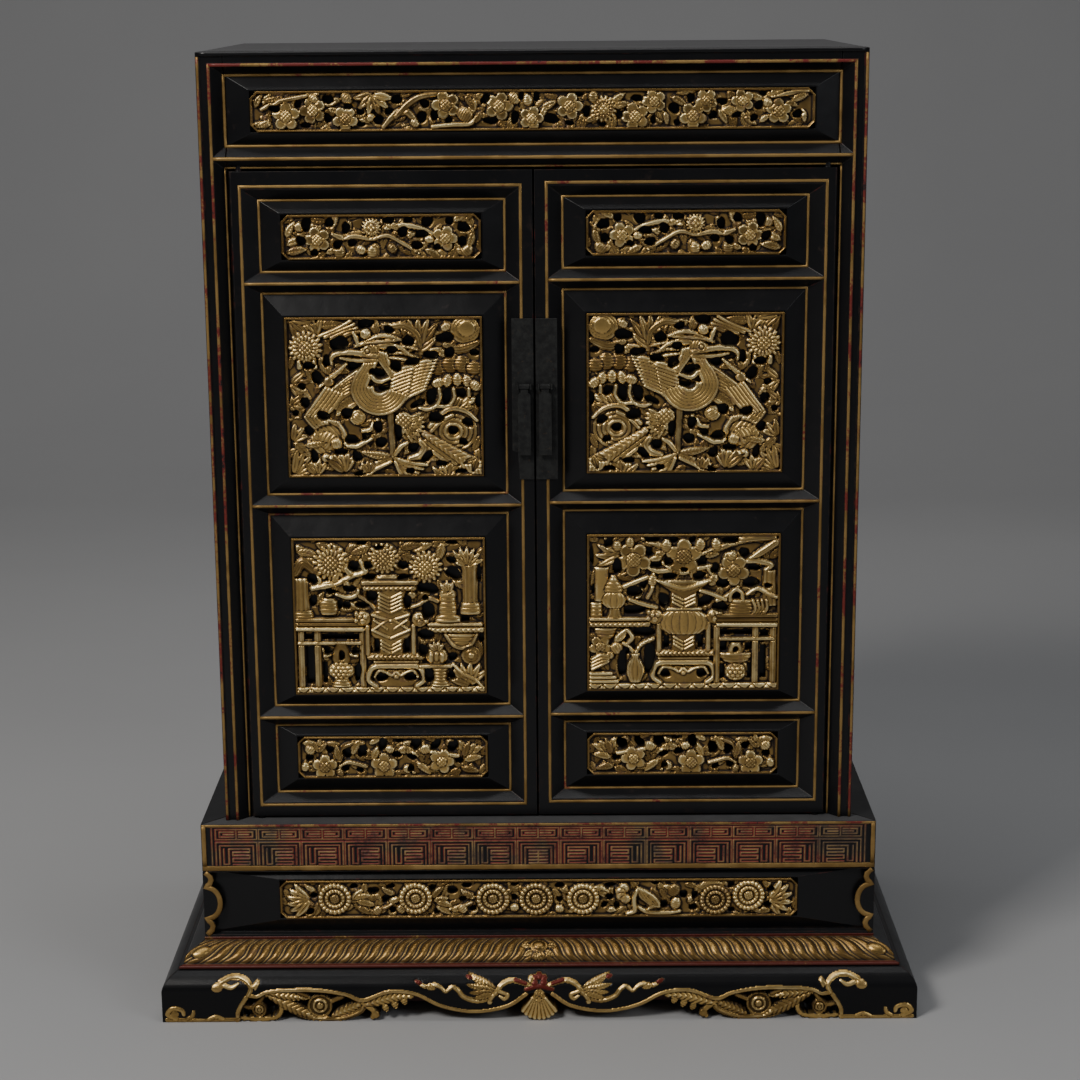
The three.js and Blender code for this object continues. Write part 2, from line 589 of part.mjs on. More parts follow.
// The waist: a fielded board held between scalloped corner posts
const WAIST_SUNK = 5;
const POST_EDGE = 2.4;          // the post's width at a cusp
const POST_LOBE = 11.6;         // and at its round lobe
const POST_BUMP = 7;            // and at the small bumps above and below it

// The right-hand post seen from the front
function cornerPost(z0, z1) {
  const high = z1 - z0;
  const cusp = BAND_HALF - POST_EDGE;
  const [low, top] = [z0 + high * 0.26, z0 + high * 0.76];
  const reach = 2 * POST_LOBE - POST_EDGE;  // a bezier's control points lie further out than the curve
  const shape = new THREE.Shape();
  shape.moveTo(BAND_HALF, z0);
  shape.lineTo(cusp, z0);
  shape.lineTo(BAND_HALF - POST_BUMP, z0 + high * 0.14);
  shape.lineTo(cusp, low);
  shape.bezierCurveTo(BAND_HALF - reach * 0.72, low, BAND_HALF - reach * 0.72, top, cusp, top);
  shape.lineTo(BAND_HALF - POST_BUMP, z0 + high * 0.88);
  shape.lineTo(cusp, z1);
  shape.lineTo(BAND_HALF, z1);
  return shape;
}

function waist() {
  const [z0, z1] = [WAIST_BOTTOM - 1.7, BAND_BOTTOM - GAP];
  const section = [[-INWARD + 4, z0], [0, z0], [0, z1], [-INWARD + 4, z1]];
  const flat = BAND_FRONT - FRONT;
  const half = BAND_HALF - POST_EDGE;
  const hole = rect(-half, half, z0 + 1.7, z1 - 0.5);
  const recess = block(hole.x0, hole.x1, depth(flat - 1), depth(flat + WAIST_SUNK), hole.z0, hole.z1);
  const outlined = cornerPost(hole.z0 - 0.5, hole.z1 + 0.3);
  const post = frontPlate(outlined, depth(flat - 2), depth(flat + WAIST_SUNK + 1));
  const posts = post.add(solid(mirrored(surface(post), 0)));
  const seat = seatOf(WAIST_CARVING);
  const field = taper(hole, flat + WAIST_SUNK + 0.5, inset(seat, -1.2), flat + 0.8);
  const pocket = inset(seat, -GAP);
  const room = block(pocket.x0, pocket.x1, depth(flat - 9), depth(flat + 0.8 + SEAT), pocket.z0, pocket.z1);
  const sunk = frontMoulding(section).subtract(recess.subtract(posts));
  const front = sunk.add(field.intersect(frontMitre())).subtract(room);
  return { front, ...sideMouldings(section) };
}

// The gadroons: slanting lobes that lean away from a flower in the middle
const LOBE_PITCH = 8.4;
const LOBE_LEAN = 6;

function gadroons() {
  const low = GADROON_BOTTOM - 1.5;
  const high = WAIST_BOTTOM - 1.7 - GAP;
  const section = (curve) => [[-INWARD + 4, low], [16, low], [16, GADROON_BOTTOM], [13.6, 36.2], ...curve,
    [0, 48.6], [0.5, high], [-INWARD + 4, high]];
  const lobe = (x, side) => {
    const wide = LOBE_PITCH * 0.42;
    const lean = side * LOBE_LEAN;
    const at = (dx, out, z) => [x + dx, BAND_FRONT - out, z];
    return hull([at(-wide, -1, 48.2), at(wide, -1, 48.2), at(lean * 0.6, 12.6, 43.4),
      at(lean - wide, 11, 36.4), at(lean + wide, 11, 36.4)]);
  };
  const lobes = [];
  for (let x = LOBE_PITCH * 2.2; x < BAND_HALF - LOBE_PITCH / 2; x += LOBE_PITCH) {
    lobes.push(lobe(x, 1), lobe(-x, -1));
  }
  const boss = hull(Array.from({ length: 8 }, (_, i) => {
    const a = (i + 0.5) * Math.PI / 4;
    return [[11 * Math.cos(a), BAND_FRONT + 2, 43 + 5.4 * Math.sin(a)],
      [6 * Math.cos(a), BAND_FRONT - 11, 43 + 3 * Math.sin(a)]];
  }).flat());
  const front = union([frontMoulding(section([])), boss, ...lobes]).intersect(frontMitre());
  return { front, ...sideMouldings(section([[11, 41.5], [6, 45.4]])) };
}

// The apron: its lower edge is an ogee line from foot to foot, falling on each side of a shell
const apronLine = [[203, 0], [201.5, 9], [197, 17], [188, 20], [176, 21.5], [149, 21.5], [131, 18.5], [119, 14],
  [102, 20], [84, 18.5], [66, 9.5], [44, 5.4], [22, 9], [8, 18.5], [0, 20]];
const APRON_STEPS = 22;
const APRON_THICK = 18;

function apron() {
  const foot = FOOT_OUT;
  const section = [[foot - 13, 0], [foot, 0], [foot, 22], [foot - 1.6, 26.5], [foot - 5.4, 30.8],
    [foot - 10, APRON_TOP], [foot - APRON_THICK, APRON_TOP]];
  const sides = sideMouldings(section);
  const curve = new THREE.SplineCurve(apronLine.map(([x, z]) => new THREE.Vector2(x, z)));
  const right = curve.getPoints(APRON_STEPS);
  const left = right.slice(0, -1).map((p) => new THREE.Vector2(-p.x, p.y));
  const corners = [new THREE.Vector2(203, -2), new THREE.Vector2(-203, -2)];
  const below = new THREE.Shape([...left, ...right.reverse(), ...corners]);
  const y = BAND_FRONT - foot;
  const front = frontMoulding(section).subtract(frontPlate(below, y - 2, y + 30));
  const sideArch = new THREE.Shape();
  sideArch.moveTo(-70, -2);
  sideArch.bezierCurveTo(-66, 16, -50, 18, -34, 18);
  sideArch.lineTo(60, 18);
  sideArch.bezierCurveTo(76, 18, 92, 16, 96, -2);
  const cutter = solid(extrude(sideArch, 600).rotateX(Math.PI / 2).translate(0, 300, 0).rotateZ(Math.PI / 2));
  return {
    front: union([front, ...apronFoliage(y)]),
    left: sides.left.subtract(cutter),
    right: sides.right.subtract(cutter),
  };
}

// Leaves, tendrils, brackets and the shell on the apron, in its own frame: u along, v up, w out
function apronFoliage(face) {
  const place = (body) => {
    const standing = surface(body).rotateX(Math.PI / 2).translate(0, face + GROUND - 0.4, 0);
    return solid(standing);
  };
  const half = [
    dome(249, 4.6, 4, 4, 0.4),
    ribbon([[198, 18, 1.6], [192, 27, 1.8], [203, 30.5, 1.6], [214, 27, 2.6]], 0.4),
    ribbon([[16, 25, 1.4], [30, 24, 2], [38, 12, 2.4], [56, 13, 1.6], [66, 20, 1.4], [84, 23, 1.2]], 0.4),
    fan(34, 18, 20, 60, 3, 15, 5, 0.4),
  ];
  const bracket = [
    ribbon([[202, 15, 2.2], [188, 5, 2.6], [174, 8, 2.2], [181, 23, 2]], 0.2),
    ribbon([[170, 24, 2.4], [158, 9, 2.4], [140, 4, 2.4], [117, 19, 2]], 0.2),
    ribbon([[148, 24, 2], [138, 18, 2], [136, 11, 2.2], [146, 6, 2]], 0.2),
    ribbon([[119, 16, 2], [108, 17, 2.4], [96, 21, 2]], 0.2),
    ribbon([[123, 18, 2], [108, 6, 2.2], [116, 4, 2]], 0.2),
  ];
  const middle = union([fan(0, 23, 236, 304, 6, 23, 5.4, 0.6), dome(0, 24, 6, 5, 0.6),
    ribbon([[-14, 25, 2], [14, 25, 2]], 0.4)]);
  const all = union([...half, ...bracket]);
  const other = solid(mirrored(surface(all), 0));
  return [place(all), place(other), place(middle)];
}

function base() {
  const tiers = { fret_band: fretBand(), waist: waist(), gadroon_moulding: gadroons(), apron: apron() };
  const pieces = {};
  for (const [name, sides] of Object.entries(tiers)) {
    for (const [side, body] of Object.entries(sides)) {
      pieces[`${name}_${side}`] = body;
    }
  }
  const inner = BAND_HALF - INWARD - GAP;
  const behind = BAND_FRONT + INWARD + GAP;
  const boardBack = BASE_BACK - WALL;
  pieces.base_top_board = block(-inner, inner, behind, boardBack - GAP, BASE_TOP - 10, BASE_TOP);
  const backBoard = block(-inner, inner, boardBack, BASE_BACK, 0, BASE_TOP);
  const arch = block(-inner + 40, inner - 40, boardBack - 1, BASE_BACK + 1, -1, 18);
  pieces.base_back_board = backBoard.subtract(arch);
  const boardFront = BAND_FRONT - FOOT_OUT + APRON_THICK + GAP;
  pieces.inner_board = block(-inner, inner, boardFront, boardFront + 8, 6, APRON_TOP - 1);
  return pieces;
}

// ---- The doors ----
// Both are drawn as the right-hand door; the left is its mirror image with its own carvings.
function door(lift) {
  const line = (z) => z + lift;
  const round = 1.2;
  const plan = [[DOOR_INNER, depth(DOOR_FACE)], [DOOR_OUTER - round, depth(DOOR_FACE)],
    [DOOR_OUTER, depth(DOOR_FACE + round)], [DOOR_OUTER, depth(DOOR_BACK)], [DOOR_INNER, depth(DOOR_BACK)]];
  const board = raised(plan, DOOR_BOTTOM, DOOR_TOP);
  const pin = (z0, z1) => upright(PIN_X, depth(PIN_DEPTH), PIN_RADIUS, z0, z1);
  const pins = [pin(DOOR_BOTTOM - PIN_LENGTH, DOOR_BOTTOM + 2), pin(DOOR_TOP - 2, DOOR_TOP + PIN_LENGTH)];
  const openings = [];
  const panels = [];
  const seats = Object.entries(CARVING_Z).map(([name, z]) => {
    const left = -CARVING_LEFT - CARVING_WIDTH;
    return rect(left, left + CARVING_WIDTH, line(z), line(z) + CARVING_HEIGHT[name]);
  });
  DOOR_PANELS.forEach(([z0, z1], i) => {
    const hole = rect(PANEL_LEFT, PANEL_RIGHT, line(z0), line(z1));
    const [low, high] = [line(DOOR_RIDGES[i]) + RIDGE_FLAT, line(DOOR_RIDGES[i + 1]) - RIDGE_FLAT];
    const ridge = rect(RIDGE_LEFT, RIDGE_RIGHT, low, high);
    openings.push(opening(ridge, DOOR_FACE, hole, PANEL_DEPTH, DOOR_BACK));
    panels.push(fieldedPanel(hole, seats[i], PANEL_DEPTH, DOOR_BACK - 1.5));
  });
  return { frame: cut(union([board, ...pins]), openings), panels };
}

// Iron: the plates lie on the meeting stiles, a pull swings from a staple on each
const PLATE = { left: 0.6, right: 14.8, top: 472.2, bottom: 366 };
const STAPLE = { x: 6.8, z: 428 };
const PLATE_THICK = 1.2;
const PLATE_FRONT = DOOR_FACE - GAP - PLATE_THICK;
const PULL_AXIS_DEPTH = PLATE_FRONT - 2.9;
const PULL_DROP = 45;

function across(x0, x1, y, z, radius, sides = 6) {
  const pin = new THREE.CylinderGeometry(radius, radius, x1 - x0, sides);
  return solid(pin.rotateZ(Math.PI / 2).translate((x0 + x1) / 2, y, z));
}

function ironwork(broken) {
  const { left, right, top, bottom } = PLATE;
  const snapped = [[left, bottom], [right - 4.6, bottom], [right - 4.2, bottom + 9], [right - 3.4, bottom + 18],
    [right, bottom + 19.4]];
  const foot = broken ? snapped : [[left, bottom], [right, bottom]];
  const face = outline([...foot, [right, top], [left, top]]);
  const plate = frontPlate(face, depth(PLATE_FRONT), depth(PLATE_FRONT + PLATE_THICK));
  const axisY = depth(PULL_AXIS_DEPTH);
  const { x, z } = STAPLE;
  const lug = (x0, x1) => block(x0, x1, axisY - 1.5, depth(PLATE_FRONT - GAP), z - 1.6, z + 1.6);
  const staple = union([lug(x - 4.8, x - 3.6), lug(x + 3.6, x + 4.8), across(x - 4, x + 4, axisY, z, 0.9)]);
  const eye = across(x - 3.2, x + 3.2, axisY, z, 1.9).subtract(across(x - 4, x + 4, axisY, z, 1.2));
  const strap = block(x - 2.4, x + 2.4, axisY - 0.9, axisY + 0.9, z - 6, z - 1.4);
  const paddle = [[x - 4, z - 5], [x - 4.2, z - PULL_DROP], [x + 4.2, z - PULL_DROP], [x + 4, z - 5],
    [x + 2, z - 3.4], [x - 2, z - 3.4]];
  const drop = frontPlate(outline(paddle), axisY - 1.1, axisY + 1.1);
  return { lock_plate: plate, pull_staple: staple, pull: union([eye, strap, drop]) };
}

// ---- Assembly ----
const shrine = new THREE.Group();

function add(name, geometry, look, position = [0, 0, 0], standing = false) {
  const mesh = new THREE.Mesh(geometry, new THREE.MeshStandardMaterial(look));
  mesh.name = name;
  mesh.position.set(...position);
  if (standing) {
    mesh.rotation.x = Math.PI / 2;
  }
  shrine.add(mesh);
}

for (const [name, body] of Object.entries(cabinet())) {
  add(name, surface(body), lacquer);
}
for (const [name, body] of Object.entries(base())) {
  const look = name === 'fret_band_front' ? red : name === 'gadroon_moulding_front' ? gilt : lacquer;
  add(name, surface(body), look);
}

// A carving is drawn lying down; standing it up turns its carved side to the front
const friezeBack = depth(SLOPE_DEPTH + 0.5 - FIELD_RISE + SEAT - GAP);
const waistBack = BAND_FRONT + 0.8 + SEAT - GAP;
const friezePlace = [FRIEZE_CARVING.left, friezeBack, FRIEZE_CARVING.bottom];
const waistPlace = [WAIST_CARVING.left, waistBack, WAIST_CARVING.bottom];
add('frieze_carving', surface(friezeCarving()), gilt, friezePlace, true);
add('waist_carving', surface(waistCarving()), gilt, waistPlace, true);

const panelNames = ['bottom', 'vase', 'bird', 'top'];
const leftCarvings = {
  bottom: surface(bottomCarving()),
  vase: surface(leftVaseCarving()),
  bird: surface(birdCarving()),
  top: surface(topCarving()),
};
const rightCarvings = {
  bottom: mirrored(leftCarvings.bottom, CARVING_WIDTH),
  vase: surface(rightVaseCarving()),
  bird: mirrored(leftCarvings.bird, CARVING_WIDTH),
  top: mirrored(leftCarvings.top, CARVING_WIDTH),
};
const carvingBack = depth(CARVING_FACE + CARVING_THICK);

for (const side of ['left', 'right']) {
  const isLeft = side === 'left';
  const lift = isLeft ? 0 : RIGHT_LIFT;
  const turned = (body) => (isLeft ? mirrored(surface(body), 0) : surface(body));
  const { frame, panels } = door(lift);
  add(`door_${side}_frame`, turned(frame), lacquer);
  panels.forEach((body, i) => add(`door_${side}_${panelNames[i]}_panel`, turned(body), lacquer));
  const carvings = isLeft ? leftCarvings : rightCarvings;
  const carvingX = isLeft ? CARVING_LEFT : -CARVING_LEFT - CARVING_WIDTH;
  for (const name of panelNames) {
    add(`door_${side}_${name}_carving`, carvings[name], gilt, [carvingX, carvingBack, CARVING_Z[name] + lift], true);
  }
  for (const [name, body] of Object.entries(ironwork(isLeft))) {
    add(`${name}_${side}`, turned(body), iron);
  }
}

export default shrine;
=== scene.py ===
"""A household shrine in black lacquer, set with gilt openwork carvings: the looks of every surface.

The frame is in metres. Reliefs are drawn in millimetres on grids of heights, then set in their places.
"""

import math

import bmesh
import bpy
import numpy as np
from mathutils import Matrix, Vector


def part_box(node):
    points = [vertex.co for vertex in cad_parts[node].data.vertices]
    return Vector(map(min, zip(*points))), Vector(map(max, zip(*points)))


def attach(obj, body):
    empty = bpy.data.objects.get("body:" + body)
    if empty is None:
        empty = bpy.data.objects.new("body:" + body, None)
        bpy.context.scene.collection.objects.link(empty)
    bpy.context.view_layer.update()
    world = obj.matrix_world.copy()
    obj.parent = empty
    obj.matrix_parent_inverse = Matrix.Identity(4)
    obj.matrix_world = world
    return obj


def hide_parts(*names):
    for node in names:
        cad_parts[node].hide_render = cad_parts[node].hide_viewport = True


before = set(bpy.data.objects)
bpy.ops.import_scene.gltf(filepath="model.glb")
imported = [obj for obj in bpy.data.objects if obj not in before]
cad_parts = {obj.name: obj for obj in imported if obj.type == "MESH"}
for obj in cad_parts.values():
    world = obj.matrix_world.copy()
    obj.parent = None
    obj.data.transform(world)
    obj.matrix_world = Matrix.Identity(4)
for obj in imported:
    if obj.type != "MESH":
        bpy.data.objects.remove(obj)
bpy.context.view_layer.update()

MM = 0.001


# ---------------------------------------------------------------- finishes
class Finish:
    """A material being made, with a short call for each kind of node"""

    def __init__(self, name):
        self.material = bpy.data.materials.new(name)
        self.material.use_nodes = True
        self.tree = self.material.node_tree
        self.shader = self.tree.nodes["Principled BSDF"]
        self.place = self.add("ShaderNodeTexCoord").outputs["Object"]

    def add(self, kind, **settings):
        """A node of a kind, with its settings"""
        node = self.tree.nodes.new(kind)
        for key, value in settings.items():
            setattr(node, key, value)
        return node

    def feed(self, socket, source):
        """Joins a socket to another, or gives it a value"""
        if isinstance(source, bpy.types.NodeSocket):
            self.tree.links.new(source, socket)
        else:
            socket.default_value = source

    def noise(self, size, detail=4, rough=0.55, stretch=(1, 1, 1), shift=0.0):
        """Noise with spots about `size` mm across, longer by `stretch` along each axis"""
        mapping = self.add("ShaderNodeMapping")
        self.feed(mapping.inputs["Vector"], self.place)
        mapping.inputs["Scale"].default_value = [1 / (size * MM * s) for s in stretch]
        mapping.inputs["Location"].default_value = (shift, shift * 1.7, shift * 2.3)
        noise = self.add("ShaderNodeTexNoise")
        self.feed(noise.inputs["Vector"], mapping.outputs["Vector"])
        noise.inputs["Scale"].default_value = 1.0
        noise.inputs["Detail"].default_value = detail
        noise.inputs["Roughness"].default_value = rough
        return noise.outputs["Fac"]

    def share(self, source, low, high):
        """0 where source is under low, 1 where it is over high, and smooth between"""
        node = self.add("ShaderNodeMapRange", interpolation_type="SMOOTHSTEP")
        self.feed(node.inputs["Value"], source)
        self.feed(node.inputs["From Min"], low)
        self.feed(node.inputs["From Max"], high)
        return node.outputs["Result"]

    def mix(self, share, first, second):
        """A colour between first and second"""
        node = self.add("ShaderNodeMix", data_type="RGBA")
        self.feed(node.inputs["Factor"], share)
        self.feed(node.inputs["A"], (*first, 1) if isinstance(first, tuple) else first)
        self.feed(node.inputs["B"], (*second, 1) if isinstance(second, tuple) else second)
        return node.outputs["Result"]

    def number(self, operation, first, second=0.0, clamp=False):
        """A sum, product or other reckoning with two numbers"""
        node = self.add("ShaderNodeMath", operation=operation, use_clamp=clamp)
        self.feed(node.inputs[0], first)
        self.feed(node.inputs[1], second)
        return node.outputs["Value"]

    def blend(self, share, first, second):
        """A number between first and second"""
        return self.number("ADD", self.number("MULTIPLY", share, second - first), first)

    def attribute(self, name):
        """A number that the carving carries at each point"""
        return self.add("ShaderNodeAttribute", attribute_name=name).outputs["Fac"]

    def facing_up(self):
        """1 where a face looks up, 0 where it is upright"""
        normal = self.add("ShaderNodeNewGeometry").outputs["Normal"]
        split = self.add("ShaderNodeSeparateXYZ")
        self.feed(split.inputs["Vector"], normal)
        return split.outputs["Z"]

    def bump(self, *layers):
        """Layers of (height, mm)"""
        normal = None
        for height, distance in layers:
            node = self.add("ShaderNodeBump")
            node.inputs["Distance"].default_value = distance * MM
            self.feed(node.inputs["Height"], height)
            if normal is not None:
                self.feed(node.inputs["Normal"], normal)
            normal = node.outputs["Normal"]
        self.feed(self.shader.inputs["Normal"], normal)

    def done(self, color, rough, metallic=0.0):
        """The finished material"""
        self.feed(self.shader.inputs["Base Color"], color)
        self.feed(self.shader.inputs["Roughness"], rough)
        self.feed(self.shader.inputs["Metallic"], metallic)
        return self.material


BLACK = (0.0030, 0.0031, 0.0038)
SOOT = (0.0066, 0.0064, 0.0070)
BROWN = (0.022, 0.012, 0.008)
RED = (0.160, 0.016, 0.010)
DEEP_RED = (0.060, 0.008, 0.006)
DUST = (0.105, 0.104, 0.106)
GOLD = (0.68, 0.445, 0.145)
# painted highlight: the pale gold laid on the ridges of the gilt
PAINTED_HIGHLIGHT_GOLD = (0.97, 0.78, 0.39)
DULL_GOLD = (0.27, 0.16, 0.048)
LINE_GOLD = (0.40, 0.25, 0.085)
LEAF_STAIN = (0.105, 0.040, 0.020)      # brown where the leaf has gone
BARE_RED = (0.125, 0.020, 0.013)        # the red ground under the leaf
# painted shade: the near black laid on the gilt in its cuts and low places
PAINTED_SHADE = (0.016, 0.008, 0.004)
FRET_GOLD = (0.36, 0.23, 0.09)
FRET_DULL_GOLD = (0.14, 0.095, 0.050)
FRET_RED = (0.230, 0.028, 0.018)
FRET_DARK_RED = (0.040, 0.012, 0.009)
FRET_DIRT = (0.070, 0.040, 0.026)
IRON_BLACK = (0.015, 0.015, 0.015)
IRON_GREY = (0.031, 0.032, 0.030)
IRON_RUST = (0.060, 0.040, 0.026)
BOARD_RED = (0.075, 0.013, 0.009)
BOARD_DARK_RED = (0.030, 0.008, 0.006)
FLOOR_GREYS = ((0.34, 0.34, 0.345), (0.38, 0.38, 0.38))


def lacquer_layers(f, dust, worn):
    """The colour and roughness of old black lacquer: dust on what faces up, and small rubs"""
    cloud = f.noise(45, 5)
    color = f.mix(cloud, BLACK, SOOT)
    rubs = f.share(f.noise(9, 8, 0.7), 0.66 - 0.25 * worn, 0.78 - 0.25 * worn)
    color = f.mix(f.number("MULTIPLY", rubs, 0.25 + 0.75 * worn), color, BROWN)
    grains = f.share(f.noise(1.6, 3, 0.7), 0.62, 0.74)
    settled = f.share(f.facing_up(), 0.35, 0.98)
    settled = f.number("MULTIPLY", settled, f.blend(f.noise(14, 6, 0.65, shift=4), 0.45, 1.0))
    dusty = f.number("MULTIPLY", f.number("ADD", settled, f.number("MULTIPLY", grains, 0.08)), dust, True)
    color = f.mix(dusty, color, DUST)
    rough = f.number("ADD", f.blend(cloud, 0.25, 0.40), f.number("MULTIPLY", dusty, 0.5), True)
    return color, f.number("ADD", rough, f.number("MULTIPLY", rubs, 0.12))


def lacquer(name, dust=0.25, worn=0.0):
    """Plain black lacquer"""
    f = Finish(name)
    color, rough = lacquer_layers(f, dust, worn)
    f.shader.inputs["Specular IOR Level"].default_value = 0.34
    f.bump((f.noise(30, 2), 0.5), (f.noise(2.4, 4, 0.6), 0.035))
    return f.done(color, rough)


def rubbed_edge(name):
    """Lacquer worn thin along an edge: brown and dark red under the black"""
    f = Finish(name)
    patch = f.noise(7, 6, 0.65)
    color = f.mix(f.share(patch, 0.48, 0.60), BLACK, BROWN)
    color = f.mix(f.share(f.noise(11, 5, 0.6, shift=3), 0.58, 0.68), color, DEEP_RED)
    f.shader.inputs["Specular IOR Level"].default_value = 0.4
    f.bump((f.noise(1.2, 4), 0.06))
    return f.done(color, f.blend(patch, 0.32, 0.55))


def gold_paint(name, gold=0.55, red=0.3, dull=0.35):
    """Gold painted on red ground over black: `gold` is the share of gold left, `red` the share of bare red"""
    f = Finish(name)
    wear = f.noise(26, 7, 0.62)
    fine = f.noise(2.2, 5, 0.7, shift=7)
    mixed = f.number("ADD", f.number("MULTIPLY", wear, 0.72), f.number("MULTIPLY", fine, 0.28))
    edge = 0.40 + 0.26 * (0.5 - gold)
    left = f.share(mixed, edge - 0.02, edge + 0.05)
    edge_red = edge - 0.10 * (0.3 + red)
    under = f.mix(f.share(mixed, edge_red - 0.02, edge_red + 0.03), SOOT, RED)
    tint = f.mix(f.share(f.noise(24, 4, shift=11), 0.62 - dull * 0.5, 0.80 - dull * 0.5), LINE_GOLD,
                 DULL_GOLD)
    color = f.mix(left, under, tint)
    f.bump((mixed, 0.12), (f.noise(0.7, 3), 0.04))
    return f.done(color, f.blend(fine, 0.36, 0.62), f.number("MULTIPLY", left, 0.7))


def gilt(name, ground=None):
    """Gold leaf on carved wood: painted shade in the cuts and low places, brown where it has gone, a painted
    highlight on the highest ridges.

    The carving says how deep, bright and red each place is; with a ground, only painted places are gold.
    """
    f = Finish(name)
    cavity, tone, level, ruddy = (f.attribute(a) for a in ("cavity", "tone", "level", "ruddy"))
    stain = f.noise(8, 6, 0.6)
    shine = f.number("ADD", f.number("MULTIPLY", tone, 0.85), f.number("MULTIPLY", stain, 0.55))
    color = f.mix(f.share(shine, 0.38, 1.05), DULL_GOLD, GOLD)
    # painted highlight: the highest ridges are turned pale gold
    crest = f.number("MULTIPLY", f.share(cavity, 0.56, 0.86), f.share(shine, 0.25, 0.95))
    color = f.mix(crest, color, PAINTED_HIGHLIGHT_GOLD)
    rust = f.share(f.noise(6, 6, 0.66, shift=5), 0.54, 0.68)
    color = f.mix(f.number("MULTIPLY", rust, 0.6), color, LEAF_STAIN)
    bare = f.share(f.number("ADD", ruddy, f.blend(f.noise(2.6, 5, 0.7, shift=8), -0.35, 0.35)), 0.42, 0.60)
    color = f.mix(bare, color, BARE_RED)
    # painted shade: the cuts and the low places of the relief are darkened towards near black
    sunk = f.share(f.number("SUBTRACT", 1.0, cavity), 0.48, 0.70)
    low = f.share(f.number("SUBTRACT", 1.0, level), 0.36, 0.72)
    dark = f.number("ADD", f.number("MULTIPLY", sunk, 0.85), f.number("MULTIPLY", low, 0.40), True)
    color = f.mix(dark, color, PAINTED_SHADE)
    # worn adds this painted shade to the real rust and bare red; metal is taken away and roughness added
    # there
    worn = f.number("ADD", f.number("ADD", dark, rust), bare)
    metal = f.number("SUBTRACT", 0.94, f.number("MULTIPLY", worn, 0.6), True)
    rough = f.number("ADD", f.blend(stain, 0.22, 0.42), f.number("MULTIPLY", dark, 0.3))
    if ground:
        painted = f.share(f.attribute("paint"), 0.35, 0.65)
        under, under_rough = lacquer_layers(f, *ground)
        color = f.mix(painted, under, color)
        rough = f.number("ADD", f.number("MULTIPLY", painted, f.number("SUBTRACT", rough, under_rough)),
                         under_rough)
        metal = f.number("MULTIPLY", painted, metal)
        f.shader.inputs["Specular IOR Level"].default_value = 0.22
    f.bump((f.noise(0.9, 4, 0.6), 0.09), (f.noise(0.3, 2), 0.02))
    return f.done(color, rough, metal)


def iron_finish(name):
    """Blackened iron with a little rust"""
    f = Finish(name)
    blotch = f.noise(4, 7, 0.72)
    color = f.mix(f.share(blotch, 0.36, 0.68), IRON_BLACK, IRON_GREY)
    color = f.mix(f.share(f.noise(2.6, 5, 0.7, shift=9), 0.60, 0.72), color, IRON_RUST)
    f.bump((blotch, 0.10), (f.noise(0.8, 4, 0.7), 0.05))
    return f.done(color, f.blend(blotch, 0.40, 0.66), 0.5)


def red_fret(name):
    """Red lacquer ground with raised gold frets, both rubbed"""
    f = Finish(name)
    line = f.attribute("level")
    wear = f.noise(11, 7, 0.66)
    fine = f.noise(1.8, 5, 0.7, shift=2)
    mixed = f.number("ADD", f.number("MULTIPLY", wear, 0.6), f.number("MULTIPLY", fine, 0.4))
    ground = f.mix(f.share(mixed, 0.34, 0.52), FRET_DARK_RED, FRET_RED)
    ground = f.mix(f.share(f.noise(38, 5, 0.6, shift=6), 0.50, 0.62), ground, FRET_DIRT)
    gold = f.mix(f.share(wear, 0.35, 0.65), FRET_DULL_GOLD, FRET_GOLD)
    left = f.number("MULTIPLY", f.share(line, 0.45, 0.75), f.share(mixed, 0.36, 0.50))
    color = f.mix(left, ground, gold)
    f.bump((mixed, 0.10), (f.noise(0.6, 3), 0.03))
    return f.done(color, f.blend(fine, 0.38, 0.62), f.number("MULTIPLY", left, 0.35))


def red_board(name):
    """Dark red paint on a plain board, brown with dirt"""
    f = Finish(name)
    color = f.mix(f.share(f.noise(20, 6, 0.6), 0.40, 0.62), BOARD_DARK_RED, BOARD_RED)
    f.bump((f.noise(1.5, 4), 0.08))
    return f.done(color, f.blend(f.noise(6, 3), 0.5, 0.7))


LACQUER = lacquer("black_lacquer", dust=0.14, worn=0.1)
LACQUER_DOOR = lacquer("black_lacquer_doors", dust=0.10, worn=0.3)
LACQUER_DUSTY = lacquer("black_lacquer_dusty", dust=0.80, worn=0.25)
EDGE = rubbed_edge("rubbed_edge")
GOLD_LINE = gold_paint("gold_line")
GOLD_LINE_WORN = gold_paint("gold_line_worn", gold=0.25, red=0.5)
GOLD_LINE_RED = gold_paint("gold_line_red", gold=0.05, red=1.0)
GOLD_FULL = gold_paint("gold_line_full", gold=0.80, red=0.6, dull=0.5)
GILT = gilt("gilt")
GILT_ON_BLACK = gilt("gilt_on_black_lacquer", (0.0, 0.1))
FRET = red_fret("red_fret")
RED_BOARD = red_board("dark_red_board")
IRON = iron_finish("iron")


# ---------------------------------------------------------------- boards and lines
def new_object(name, vertices, faces, materials, smooth=True):
    """A mesh object in the scene, from points and faces"""
    mesh = bpy.data.meshes.new(name)
    mesh.from_pydata([tuple(v) for v in vertices], [], [tuple(f) for f in faces])
    mesh.validate()
    mesh.polygons.foreach_set("use_smooth", [smooth] * len(mesh.polygons))
    for material in materials:
        mesh.materials.append(material)
    piece = bpy.data.objects.new(name, mesh)
    bpy.context.scene.collection.objects.link(piece)
    return piece


